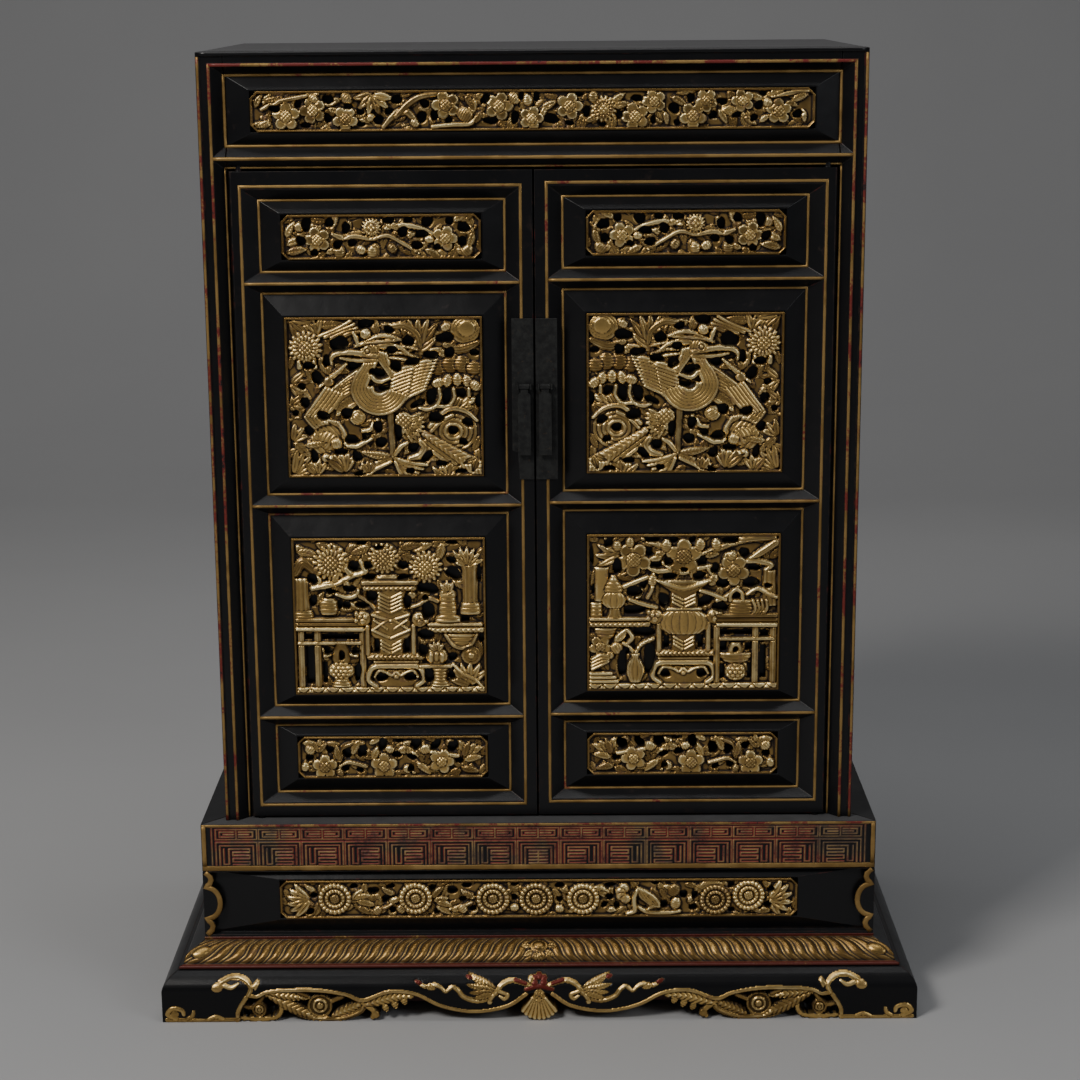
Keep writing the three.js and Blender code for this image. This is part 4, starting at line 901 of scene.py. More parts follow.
    # left wing: short strokes, then long feathers in three sheaves
    b.tones = (0.35, 0.7)
    b.sheaf(6, [[52, 62, 1.5], [45, 55, 1.8], [34, 49, 1.2]],
            [[-0.4, -2.0], [-0.6, -1.6], [-0.2, -1.5]], 8.2, trench=0.4)
    b.sheaf(6, [[50, 72, 1.5], [40, 65, 1.7], [30, 58, 1.2]],
            [[-1.4, -3.0], [-1.0, -2.6], [0.4, -2.4]], 8.7, trench=0.4)
    b.tones = (0.7, 1.0)
    b.sheaf(6, [[26, 59.5, 1.1], [19.6, 50.5, 1.2], [12.6, 41.6, 0.8]],
            [[2.1, -0.9], [1.9, -1.1], [1.8, -0.6]], 9.0, trench=0.4)
    b.sheaf(7, [[39.6, 75, 1.0], [35.6, 70.5, 1.0], [31, 66, 0.7]],
            [[-2.0, -1.6], [-2.0, -1.4], [-1.6, -1.1]], 9.0, trench=0.4)
    b.tones = (0.4, 0.6)
    b.ball(27.5, 63, 3.6, 3.0, 8.4, 1.0)
    # right wing: two rows of long feathers over a row of short ones
    b.tones = (0.65, 1.0)
    b.sheaf(10, [[80, 73.6, 1.0], [89, 76, 1.2], [98.6, 77.4, 0.8]],
            [[-0.2, -2.35], [-0.3, -2.2], [-0.9, -2.15]], 9.0, trench=0.45)
    b.sheaf(10, [[69.5, 69, 1.0], [76, 71.8, 1.15], [83.5, 74, 0.9]],
            [[-0.2, -2.3], [0, -2.35], [-0.5, -2.35]], 9.5, trench=0.45)
    # breast: rings about the hollow of the neck; neck bands from the head round to the breast
    b.tones = (0.55, 0.9)
    for k in range(7):
        r = 17.5 - 2.1 * k
        band = [[54.5 + 1.3 * k, 80 - 0.5 * k, 1.1], [50.4 + 1.5 * k, 73 - 0.6 * k, 1.3],
                [45.6 + 2.0 * k, 66 - 0.4 * k, 1.3]]
        arc = [[61 + 1.02 * r * math.cos(a), 59.6 + r * math.sin(a), 1.15]
               for a in np.radians(range(182, 352, 20))]
        b.ribbon(band * (k < 5) + arc, 9.6 + 0.03 * k, trench=0.45, rise=1.3)
    b.sheaf(4, [[60, 83, 1.0], [61.6, 77, 1.3], [66, 70.6, 1.2], [68.4, 66, 0.8]],
            [[1.9, -0.4], [1.9, -0.4], [1.2, 0.6], [0.4, 0.8]], 9.3, trench=0.45)
    b.ribbon([[56, 73, 1.0], [56.5, 66, 1.5], [61, 63.2, 1.5], [67.5, 65.4, 1.0]], 9.2)
    # head, beak, crest
    b.tones = (0.3, 0.7)
    b.sheaf(3, [[68, 84, 1.0], [77, 86, 1.4], [86, 84, 1.0]],
            [[0, -2.6], [0, -4.2], [0, -5.4]], 8.4, barbs=2.8, slant=1.0)
    b.ribbon([[45.5, 86.4, 0.9], [52, 88.4, 1.6], [62, 89.2, 1.6], [74.6, 90.6, 1.0]], 9.3, grooves=2)
    b.ribbon([[53, 90, 0.9], [60, 92.6, 1.5], [68, 92.6, 1.4], [75.6, 90.4, 0.8]], 8.9, grooves=2)
    b.ribbon([[57, 86, 1.6], [64, 86.4, 2.2], [73, 86, 1.6], [80, 82, 1.0]], 9.0, grooves=3)
    b.ball(54.6, 83, 7.0, 4.4, 9.5, 1.6, 1.9, 20)
    b.ribbon([[59, 80, 1.8], [50, 81.6, 2.0], [41, 82.6, 1.9], [33, 81.6, 1.8], [29.6, 78, 1.4],
              [30.4, 74.6, 0.7]], 9.8, rise=1.8)
    b.ribbon([[60, 77.4, 1.0], [52, 77.2, 1.4], [44, 77.4, 1.3], [36, 79, 0.9]], 9.5)
    for radius, top in ((3.1, 9.9), (2.1, 9.0), (1.2, 9.9)):
        b.ball(53.6, 83.4, radius, radius, top, 0.7)
    b.tones = (0.95, 1.0)
    b.ball(52.4, 94.4, 3.5, 3.5, 9.4, 2.0)
    b.ball(52.8, 94.6, 1.7, 1.7, 9.9, 0.8)
    b.ribbon([[47.4, 88, 1.2], [46.2, 92, 1.7], [44.6, 95.4, 0.9]], 9.0)
    for u in (9, 19):
        b.ribbon([[u, 73, 1.8], [u - 0.4, 76.4, 1.2]], 8.8)
    holes = [(35.3, 88, 5.6, 5.2, 20), (52.6, 101, 5.2, 3.2), (67.6, 97, 3.2, 2.6),
             (80, 89.7, 4.2, 3.2, -20), (69.3, 84, 3.8, 2.6, 15), (104, 91.5, 5.6, 3.6),
             (106.7, 81.8, 3, 3.6), (94.8, 80.2, 4.8, 3.0), (82.6, 76.2, 4.4, 2.8, 10),
             (71.8, 73, 3.6, 3.4), (122.8, 81.6, 2.8, 2.2), (26.8, 76.6, 2.6, 3.6),
             (15.3, 73.8, 4.2, 2.5, -10), (20.4, 65.5, 3.8, 4.2, 20), (10.2, 60.1, 2.6, 2.1),
             (43.8, 73.6, 3.8, 2.8), (59.5, 69.2, 4.8, 2.8, -15), (63.6, 58.6, 3.6, 1.7, 10),
             (11.9, 49.4, 2.7, 3.8), (5.5, 42.5, 2.2, 2.0), (23.8, 41.0, 4.0, 3.3), (39.1, 42.3, 4.0, 3.5),
             (59.1, 33.4, 3.0, 4.0), (72.4, 29.4, 2.7, 5.2), (14, 30.4, 3.0, 3.0, 30),
             (41.7, 24.8, 4.8, 2.7), (51, 27, 2.8, 2.5), (61, 22.6, 3.3, 3.6), (34.4, 16.8, 5.2, 1.9),
             (17, 13.4, 2.5, 4.0), (45.2, 13.4, 3.2, 3.5), (85.6, 48.4, 5.0, 2.3, 30), (94.4, 53, 3.4, 5.2),
             (104.4, 53, 2.8, 5.4), (113.9, 55.2, 3.0, 3.3), (124.8, 49.6, 2.0, 3.8), (97.3, 39, 4.5, 3.8),
             (108.4, 30.6, 3.0, 3.0), (118, 35.8, 3.5, 2.8, -40), (114.9, 23, 2.6, 2.5), (82, 19, 3.4, 3.2),
             (91, 13.4, 4.8, 2.6, 40), (100.6, 8.6, 3.6, 2.2), (113, 3.6, 4.0, 1.5), (80, 4, 2.6, 2.2),
             (46, 1.8, 3.4, 1.2)]
    return cut_out(b, holes)


def table(b, u0, u1, legs, v=45):
    """A side table seen from the front: a lipped top, a lower rail and square legs"""
    b.tones = (0.35, 0.55)
    for u in legs:
        b.ribbon([[u, 6, 2.1], [u, v - 2, 2.1]], 8.2, grooves=2)
    b.ribbon([[u0 + 2, v - 9.6, 1.3], [u1 - 2, v - 9.6, 1.3]], 8.2)
    b.tones = (0.15, 0.4)
    b.ribbon([[u0, v + 3.6, 1.5], [u1, v + 3.6, 1.5]], 8.2)
    b.ribbon([[u0, v + 6.6, 1.4], [u1, v + 6.6, 1.4]], 8.8)
    b.tones = (0.9, 1.0)
    b.ribbon([[u0, v + 0.4, 1.3], [u1, v, 1.5]], 9.2)
    b.tones = (0.3, 0.8)


def vessel(b, u, profile, top, rings=0.0, flutes=0):
    """A turned pot: profile lists [v, radius] up its side; rings run round it, flutes run up it"""
    heights = [p[0] for p in profile]
    reach = max(heights[-1] - heights[0], 2 * max(p[1] for p in profile))
    part, du, _ = b.window(u, (heights[0] + heights[-1]) / 2, reach)
    v = b.v[part]
    radius = np.interp(v, heights, [p[1] for p in profile])
    inside = np.minimum(radius - np.abs(du), np.minimum(v - heights[0], heights[-1] - v))
    across = np.clip(np.abs(du) / np.maximum(radius, 0.1), 0, 1)
    body = top - 2.6 * (1 - np.sqrt(1 - across ** 2 * 0.96))
    if rings:
        body = body - 0.8 * (1 - ridges(v / rings))
    if flutes:
        turn = np.arcsin(np.clip(du / np.maximum(radius, 0.1), -1, 1)) / np.pi
        body = body - 0.9 * (1 - ridges(turn * flutes + 0.5))
    b.lay(part, inside, body, 0.9)


def scaled_pot(b, u, v, across, high, top):
    """A round pot covered in overlapping scales"""
    b.ball(u, v, across, high, top, 2.0)
    for row in range(-3, 4):
        for k in range(-4, 5):
            du, dv = 3.1 * (k + 0.5 * (row % 2)), 2.3 * row
            out = (du / across) ** 2 + (dv / high) ** 2
            if out < 0.72:
                b.ball(u + du, v + dv, 1.7, 1.4, top + 0.7 - 1.6 * out, 1.0)


def herringbone(b, u, v0, v1, half, top):
    """Short ribs that rise to either side of a middle line"""
    b.tones = (0.5, 0.9)
    for side in (-1, 1):
        for k in range(int((v1 - v0) / 2.5)):
            v = v0 + 2.5 * k
            b.ribbon([[u + side * 0.8, v, 0.8], [u + side * half, v + 3.4, 0.9]], top, trench=0.5, rise=1.0)


def stand(b, u, half, openings):
    """A bright arched stand with a cusp in the middle, under a slab cut in zigzags"""
    b.tones = (0.2, 0.5)
    vessel(b, u, [[4.4, half - 5], [9, half - 3], [17, half - 3]], 7.4)
    b.tones = (0.9, 1.0)
    b.ribbon([[u - half + 5, 5.6, 1.4], [u - half, 9.6, 1.6], [u - half + 0.6, 15.4, 1.7],
              [u - half + 5, 19.4, 1.8], [u, 19.6, 1.9], [u + half - 5, 19.4, 1.8],
              [u + half - 0.6, 15.4, 1.7], [u + half, 9.6, 1.6], [u + half - 5, 5.6, 1.4]], 9.4, rise=1.6)
    for side in (-1, 1):
        b.ribbon([[u + side * (half - 4), 12, 0.9], [u + side * (half - 7), 16.4, 1.0],
                  [u + side * 7, 15.4, 1.0], [u + side * 3, 13.2, 1.0], [u, 15.6, 1.0]], 9.0)
    b.ball(u, 12.2, 1.8, 1.6, 9.0, 1.4)
    b.tones = (0.3, 0.7)
    b.ribbon([[u - half + 4, 22.4, 1.0], [u + half - 4, 22.4, 1.0]], 8.6)
    b.ribbon([[u - half + 1, 26, 2.2], [u + half - 1, 26, 2.2]], 9.0, barbs=3.0, slant=1.0, rise=1.0)
    for du, across, high in openings:
        b.pierce(u + du, 11.6, across, high)


def foot_strip(b):
    """The ground line: a strip crossed by a wide zigzag"""
    b.tones = (0.6, 0.8)
    b.ribbon([[0, 2.4, 2.2], [b.width, 2.4, 2.2]], 8.6, rise=0.6)
    for k in range(int(b.width / 10) + 1):
        u = 10 * k
        b.ribbon([[u, 4.2, 0.45], [u + 5, 0.8, 0.45], [u + 10, 4.2, 0.45]], 7.7, trench=0.2)


def mask(b, u, v, side):
    """A beast's head at the shoulder of a vase, and the bar that hangs from it"""
    b.tones = (0.3, 0.7)
    b.ball(u, v, 5.4, 5.0, 9.0, 1.8)
    for du, dv, radius in ((-1.8, 1.4, 1.6), (1.8, 1.4, 1.6), (0, -1.6, 2.0), (side * 4, 3.4, 1.6),
                           (side * 4.4, -1, 1.5)):
        b.ball(u + du, v + dv, radius, radius, 9.7, 1.0)


def left_vase_carving():
    """A vase of chrysanthemums on a stand, with side tables, pots and a burner"""
    b = Board(CARVING_WIDTH, BOARD_HEIGHT["vase"], CELL, GROUND, 21)
    b.undergrowth(130)
    b.tones = (0.2, 0.6)
    for u, v, angle in [(3, 103, 300), (3, 98, 350), (16, 104, 330), (3, 88, 20), (40, 104, 250),
                        (46, 100, 290), (76, 104, 240), (80, 98, 20), (100, 104, 250), (102, 96, 330),
                        (72, 96, 330), (106, 78, 330), (36, 98, 20), (46, 96, 200), (72, 100, 10),
                        (52, 102, 200)]:
        b.leaf(u, v, angle, 15, 6.5, 7.4, 0.2)
    b.ribbon([[2, 84, 3], [7, 91, 3.6], [16, 84, 2.4]], 7.8, grooves=4)
    b.tones = (0.45, 0.9)
    b.chrysanthemum(25.8, 90.7, 12.4)
    b.chrysanthemum(60.6, 93.3, 10.6)
    b.chrysanthemum(88.3, 87.4, 11.4)
    b.fan(115, 88, 20, 150, 7, 13, 4.2, 8.6)
    b.leaf(112, 84, 170, 12, 5, 8.2, 0.2)
    b.tones = (0.92, 1.0)
    b.ribbon([[13, 73.4, 1.6], [22, 75.6, 2.4], [30, 77, 1.8], [40, 82, 1.6], [48, 85, 2.2],
              [45.4, 92, 1.2]], 9.0, grooves=2)
    for u, v, angle in ((19, 76, 120), (27, 77, 60), (34, 79, 300), (40, 82, 130)):
        b.leaf(u, v, angle, 9, 4.2, 8.8, 0.1)
    b.ribbon([[28, 69.6, 1.0], [36, 67, 1.4], [42, 68.6, 1.6], [43.6, 72, 1.0]], 8.6)
    b.tones = (0.3, 0.7)
    b.ribbon([[36, 64, 1.0], [43, 60, 1.4]], 8.0)
    b.ribbon([[44, 68, 1.4], [50, 64, 1.4], [55, 58.4, 1.4]], 8.2)
    b.ball(79, 68.4, 3, 2.8, 8.4, 1.6)
    b.ribbon([[74, 59, 1.2], [84, 62, 1.4], [90, 66, 1.6], [96, 64, 1.4]], 8.2)
    # left: a column, ringed pot and table, with a scaled pot under it
    b.tones = (0.3, 0.6)
    vessel(b, 5.6, [[58, 5.4], [62, 5.0], [79, 4.6], [80, 5.6]], 8.4, 0, 5)
    vessel(b, 6.5, [[52.5, 6.6], [55, 7], [58, 5.6]], 8.8, 2.2)
    vessel(b, 23.5, [[55.4, 5.0], [58, 6.2], [64, 6.0], [66, 4.0]], 8.8, 2.5)
    b.leaf(22, 67, 40, 12, 4.6, 8.0, 0.2)
    table(b, 1, 46, [4.4, 15.5, 45.5])
    b.tones = (0.3, 0.6)
    vessel(b, 31, [[21, 5.4], [25, 6.2], [30, 5.4], [35, 3.4]], 8.2)
    b.ribbon([[23, 27.6, 1.4], [20, 26.6, 1.2]], 8.4)
    b.ribbon([[38, 27.6, 1.4], [41.6, 26.6, 1.2]], 8.4)
    b.tones = (0.7, 1.0)
    scaled_pot(b, 30.8, 16.2, 8.6, 6.0, 8.6)
    b.tones = (0.5, 0.8)
    vessel(b, 31, [[5.4, 6.6], [7, 6.2], [10, 4.6]], 8.8, 2.2)
    # middle: the vase
    stand(b, 67.6, 18.4, [(-9.6, 4.4, 2.6), (9.6, 4.4, 2.6)])
    b.tones = (0.4, 0.6)
    for u in (49, 79.6):
        b.ribbon([[u, 28, 1.6], [u, 47, 1.6]], 8.6)
    vessel(b, 64.6, [[28, 7.6], [37, 8.0], [37.4, 9], [41, 13.2], [57, 12.6], [57.6, 9.4], [66, 8.8],
                     [71, 10.4], [73, 14]], 9.2)
    herringbone(b, 64.6, 29, 36.5, 6.6, 9.7)
    herringbone(b, 64.6, 57, 70, 7.6, 9.8)
    b.tones = (0.8, 1.0)
    for v, drop in ((55.4, 4.2), (44.8, 5.6)):
        b.ribbon([[52.4, v, 1.0], [64.6, v - drop, 1.1]], 9.9, trench=0.7)
        b.ribbon([[64.6, v - drop, 1.1], [77, v, 1.0]], 9.9, trench=0.7)
    for u in (58, 71.2):
        for slant in (-1, 1):
            b.ribbon([[u - 4.4, 48.6 - 3 * slant, 0.8], [u + 4.4, 48.6 + 3 * slant, 0.8]], 9.7, trench=0.6)
    b.tones = (0.3, 0.6)
    b.ribbon([[47, 77, 1.7], [82, 77, 1.7]], 9.4)
    b.ribbon([[48, 73.4, 1.5], [81, 73.4, 1.5]], 9.8, barbs=3.2, slant=1.0, rise=0.9)
    b.ribbon([[52, 79.6, 1.0], [60, 80.6, 1.6], [68, 80.4, 1.6], [77, 79.6, 1.0]], 8.4, grooves=2)
    mask(b, 46, 52.4, -1)
    mask(b, 84, 51.6, 1)
    # right: burner, column, shelf, pots and rocks
    b.tones = (0.35, 0.7)
    vessel(b, 117.8, [[62, 5.4], [66, 4.8], [86, 5.2], [88, 6.4]], 8.6, 0, 5)
    vessel(b, 118, [[54.6, 6.6], [58, 6.8], [63, 5.8]], 9.0, 2.5)
    vessel(b, 102.8, [[50, 8.6], [53, 8.2], [54.6, 5.6], [60, 5.8], [64, 5.2], [70, 5.6], [72, 3.6],
                      [76, 2.4]], 9.2, 2.9)
    b.fan(103, 70, 60, 130, 3, 8, 3.4, 8.6)
    b.tones = (0.6, 0.9)
    b.ribbon([[91, 44.4, 1.9], [125, 44.4, 1.9]], 9.0, barbs=3.4, slant=1.0, rise=1.0)
    b.tones = (0.3, 0.7)
    b.ribbon([[90, 48, 1.2], [125, 48, 1.2]], 9.0)
    vessel(b, 111, [[30.4, 3], [33, 7], [37, 10], [41.6, 12]], 8.4, 2.6)
    b.ribbon([[101, 41, 1.2], [106, 34, 1.3], [112, 31.6, 1.3], [118, 34, 1.3], [122, 41, 1.0]], 9.0)
    b.ball(94.8, 26, 7.4, 6.2, 8.8, 2.2)
    for du in (-3.6, 0, 3.6):
        b.ball(94.8 + du, 26 - abs(du) * 0.2, 1.9, 3.6, 9.6, 1.6)
    b.fan(94.8, 30, 40, 140, 4, 7, 3, 9.2)
    b.ribbon([[84, 19, 1.4], [104, 19, 1.4]], 8.8)
    vessel(b, 97, [[5.4, 6.6], [8, 5.4], [10, 4.0], [16, 4.6], [18, 6.0]], 8.8, 2.2)
    for radius, top in ((6.6, 7.6), (4.4, 8.3), (2.2, 9.0)):
        b.ball(118, 26.4, radius, radius, top, 1.2)
    b.fan(117, 6, 40, 160, 6, 16, 5, 8.4, 0.15)
    b.ribbon([[106, 20, 1.2], [112, 14, 1.6], [120, 10, 1.4], [125, 5, 1.0]], 8.8, grooves=2)
    foot_strip(b)
    slots = [(7.4, 12.8, 7, 33), (6.8, 12.6, 38, 41.8), (18.4, 43, 37.8, 41.6), (18.8, 21.4, 8, 22),
             (53.4, 56.4, 29, 38.6), (73.4, 76.6, 29, 38.6), (112, 117, 49.8, 53.4)]
    holes = [(41.3, 88.2, 4.4, 3.6), (50.4, 88.9, 3.0, 2.5), (73.6, 88.8, 3.4, 3.0), (105.8, 92, 3.3, 2.4),
             (13.4, 79.6, 3.4, 3.8), (51, 80.9, 4.4, 1.9), (73.6, 80.4, 4.4, 1.8),
             (90, 72.6, 6.6, 3.8, -15), (107, 82.8, 5.2, 4.4, -30), (25.4, 71.2, 3.6, 1.7),
             (37.4, 73, 4.0, 2.6), (35.6, 61.6, 2.6, 3.0), (52.4, 68, 4.2, 3.8, -30), (46, 61.4, 4.4, 2.2),
             (76, 63.6, 2.7, 4.4), (89.6, 57.4, 4.6, 5.2), (123.9, 82.8, 1.5, 5.6), (88.2, 40.9, 6.0, 3.4),
             (86, 29.8, 3.2, 4.2), (89.4, 12.2, 3.0, 4.8), (105.6, 25.4, 3.2, 2.8), (104.8, 12.4, 2.8, 2.5),
             (125, 38, 1.9, 2.4), (13.4, 64.6, 2.5, 4.0), (31, 61.6, 1.6, 3.0), (22.2, 30, 2.6, 2.8),
             (40.8, 30, 2.6, 2.8), (41.8, 15, 2.2, 6.4), (31.4, 27, 2.1, 3.2), (88, 66.4, 2.2, 1.6),
             (58, 100.8, 3.0, 1.5), (46, 104, 3.0, 1.3), (106, 104, 3.4, 1.4)]
    return cut_out(b, holes, slots)


def right_vase_carving():
    """A lobed vase on a pierced stand, with plum blossom, urns and a table"""
    b = Board(CARVING_WIDTH, BOARD_HEIGHT["vase"], CELL, GROUND, 22)
    b.undergrowth(130)
    b.tones = (0.5, 0.8)
    branches = [[[24, 71.6, 1.6], [32, 75, 1.8], [40, 78.4, 1.4]],
                [[39, 86, 1.4], [46, 82.4, 1.6], [56, 82.6, 1.6], [64, 81, 1.6], [72, 83.6, 1.6],
                 [82, 85.4, 1.4]],
                [[50, 88, 1.2], [56, 83.6, 1.3]],
                [[80, 84, 1.2], [85, 77, 1.4]],
                [[86, 62, 1.3], [92, 64.4, 1.4], [100, 71, 1.2]],
                [[75, 69, 1.3], [84, 66, 1.5], [92, 62.6, 1.4]],
                [[28, 63, 1.2], [36, 60, 1.5], [46, 57.4, 1.4]],
                [[44, 80, 1.3], [43, 70, 1.3], [40, 64, 1.2]]]
    for points in branches:
        b.ribbon(points, 8.4)
    b.tones = (0.3, 0.75)
    b.fan(22, 93, 130, 205, 4, 17, 5, 7.8, 0.1)
    b.fan(20, 80, 20, 80, 3, 12, 5, 7.2)
    b.ribbon([[73.8, 93.4, 1.2], [86, 97, 2.0], [102, 103, 2.4], [124, 104.6, 1.6]], 8.4, grooves=3)
    b.ribbon([[107, 90, 1.2], [115, 94.6, 2.6], [125, 101.4, 2.6]], 8.6, grooves=4)
    b.ribbon([[104, 88.6, 1.2], [114, 88.6, 2.2], [122, 86, 1.8], [118, 82.6, 1.2]], 8.4, grooves=3)
    b.ribbon([[37, 104, 1.4], [47, 100, 2.0], [54, 96, 1.2]], 7.8, grooves=2)
    vessel(b, 121, [[58, 5.6], [66, 5.0], [82, 4.4]], 8.0, 0, 4)
    b.ribbon([[106, 66, 1.2], [113, 70, 1.6], [121, 66, 1.8], [126, 64, 1.2]], 8.6, grooves=2)
    for u, v, angle in ((44, 92, 20), (50, 92, 190), (78, 92, 10), (90, 90, 30), (36, 72, 250),
                        (60, 76, 100), (70, 76, 80)):
        b.leaf(u, v, angle, 10, 4.8, 8.0, 0.2)
    b.plum(30.6, 90.3, 11.4)
    b.plum(64.1, 92.2, 11.8, turn=0.5)
    b.plum(97.1, 82.5, 10.4)
    b.tones = (0.5, 0.9)
    for u, v, across, angle in [(19.9, 99.6, 2.9, 90), (28.4, 102, 2.9, 90), (52.4, 99.4, 3.4, 80),
                                (74.8, 100, 3.4, 80), (85.5, 100.2, 3.2, 95), (83.6, 76, 3.4, 60),
                                (43.4, 76, 3.2, 80), (96, 92.4, 3.0, 60)]:
        b.ball(u, v, across * 1.25, across, 8.8, 1.8, 1.6, angle)
    # left: a tall box, a lobed urn, a shelf, flowers and a small vase with a sprig
    b.tones = (0.7, 1.0)
    vessel(b, 9.6, [[62, 4.8], [64, 4.6], [83, 4.6], [85, 5.2]], 8.2)
    b.tones = (0.3, 0.7)
    vessel(b, 17.4, [[68, 6.0], [70, 6.6], [73, 5.4], [76, 3.4], [79.4, 1.6]], 9.0, 2.6)
    vessel(b, 6, [[50.6, 4.4], [61, 4.0]], 8.4, 2.7)
    vessel(b, 18.2, [[50, 6.0], [53, 4.0], [57.4, 3.4]], 8.8, 0, 3)
    b.tones = (0.85, 1.0)
    vessel(b, 17.6, [[57.4, 4.4], [60, 7.6], [63, 8.4], [66, 7.0], [68, 4.4]], 9.4, 0, 6)
    b.tones = (0.3, 0.7)
    b.ribbon([[1, 46, 1.9], [40, 46, 1.9]], 9.0, barbs=3.2, slant=1.0, rise=1.0)
    b.ribbon([[1, 49.6, 1.1], [40, 49.6, 1.1]], 9.2)
    vessel(b, 12, [[35, 2.6], [38, 6], [43.4, 8]], 8.4, 2.6)
    b.tones = (0.8, 1.0)
    b.leaf(18, 34, 48, 13, 5.4, 9.0, -0.2)
    b.ribbon([[27, 42, 1.2], [30, 37, 1.6], [27, 33, 1.2]], 8.8)
    b.tones = (0.4, 0.8)
    b.plum(8.7, 30.6, 7.4)
    b.ball(19.6, 29.4, 4.4, 4.2, 8.8, 2.0, 1.8, 30)
    b.ball(15, 24.6, 2.8, 2.8, 8.6, 1.6)
    b.ribbon([[24, 33, 1.2], [29, 29, 1.3], [31.6, 25, 1.4]], 8.6)
    b.ribbon([[31.6, 25, 1.4], [36, 32, 1.6], [43.6, 36, 1.6]], 8.6, barbs=2.8, slant=1.0)
    vessel(b, 32, [[5.6, 3.4], [8, 4.4], [12, 6.0], [16, 6.2], [20, 4.4], [23, 2.4], [25.6, 3.2]], 9.2, 0,
           6)
    b.tones = (0.5, 0.9)
    b.sheaf(4, [[3, 15, 1.0], [9, 18, 1.2], [14, 20.4, 0.9]],
            [[0, 2.3], [0, 2.3], [0, 1.4]], 8.8)
    for v, width in ((6.4, 20), (9.2, 18.6), (11.8, 16)):
        b.ribbon([[2, v, 1.2], [width, v, 1.2]], 8.6)
    # middle: the vase
    stand(b, 64.2, 20.4, [(-12.2, 3.6, 2.6), (12.2, 3.6, 2.6)])
    b.tones = (0.35, 0.6)
    for u in (47.8, 80.6):
        b.ribbon([[u, 28, 1.7], [u, 47, 1.7]], 8.6)
    vessel(b, 64.2, [[28, 8], [38, 7.8], [56, 8], [58, 9.4], [68, 8.6], [70, 11], [73, 15.6], [76, 17]],
           9.0)
    b.tones = (0.75, 1.0)
    vessel(b, 64.2, [[39.4, 10.4], [43, 15.4], [48, 16.6], [52, 15], [55, 11]], 9.9, 0, 9)
    herringbone(b, 64.2, 29, 37, 6.4, 9.6)
    herringbone(b, 64.2, 58, 67.6, 7.4, 9.7)
    b.tones = (0.6, 0.9)
    b.ribbon([[53, 56.6, 1.0], [75.4, 56.6, 1.0]], 9.8)
    b.ribbon([[47, 76, 1.0], [54, 73.4, 1.7], [64.2, 71, 1.9], [74, 73.4, 1.7], [81, 76, 1.0]], 9.8,
             grooves=2)
    mask(b, 45, 51.1, -1)
    mask(b, 85, 51.1, 1)
    # right: hooped pot on a table, a bowl and a scaled pot under it
    b.tones = (0.3, 0.6)
    vessel(b, 102.6, [[51, 9], [55, 8.6], [62.6, 7.4]], 8.6, 2.4)
    b.ribbon([[95, 62, 1.2], [95.6, 67, 1.4], [99, 69.6, 1.4], [102.6, 67, 1.4], [103.6, 62, 1.2]], 8.6)
    b.sheaf(4, [[109, 51, 1.0], [112, 56, 1.3], [110, 62, 1.0]],
            [[1.8, 0], [2.4, 0], [3.0, 0]], 8.8)
    b.ribbon([[112, 50.6, 1.2], [126, 50.6, 1.2]], 9.0)
    table(b, 87, 126, [86.4, 112, 124])
    b.tones = (0.4, 0.7)
    vessel(b, 99, [[24, 5.6], [29, 4.8], [32.6, 3.2]], 8.4)
    vessel(b, 99, [[18.4, 4], [20, 8], [23, 10.4], [25.6, 10.4]], 8.8, 2.4)
    b.tones = (0.6, 0.95)
    scaled_pot(b, 99, 12.6, 7.0, 6.2, 8.8)
    foot_strip(b)
    slots = [(88.6, 110, 38, 41.6), (115.6, 120.6, 36.8, 41), (115.4, 119.4, 8, 31), (51, 54.6, 29.6, 38),
             (73.6, 77.2, 29.6, 38), (88.4, 91.6, 8, 18), (107, 109.6, 8, 18), (88.6, 93, 27, 33),
             (105.6, 109.6, 27.6, 32.6)]
    holes = [(14.3, 101.6, 2.6, 3.4), (42.6, 103.6, 4.6, 2.0), (41, 95.4, 2.4, 2.8),
             (57.4, 103.6, 2.2, 2.6), (69.8, 103.8, 2.2, 2.4), (95, 103, 5.4, 2.2), (104.2, 94.2, 3.4, 3.2),
             (20, 85.6, 3.2, 5.0), (45.6, 86.6, 3.8, 2.6), (54, 88.8, 2.7, 3.2), (76.4, 88.4, 3.4, 2.7),
             (84.8, 83.8, 3.2, 3.2), (111, 84.3, 4.0, 2.5), (64.4, 83.4, 2.4, 1.4), (55, 78.8, 5.0, 2.2),
             (74.4, 78.8, 4.4, 2.8), (108.7, 74, 5.2, 3.8), (90, 73.4, 4.2, 3.0), (31.4, 68.4, 5.0, 4.0),
             (37, 72.8, 2.2, 3.0), (51.2, 61.8, 3.6, 5.0), (78.4, 61.4, 4.6, 3.6), (31, 55.6, 6.4, 3.4),
             (88.6, 57.4, 5.2, 3.2), (38, 40.6, 6.6, 4.0), (41.6, 22, 3.6, 11), (23.4, 18.4, 3.4, 8.4),
             (26.4, 27.4, 2.0, 2.6), (3, 92.6, 1.2, 6), (99, 65.3, 3.0, 2.2), (99, 28.2, 1.9, 2.0),
             (4, 70, 1.1, 3.4), (120, 72, 2.4, 1.8)]
    return cut_out(b, holes, slots)


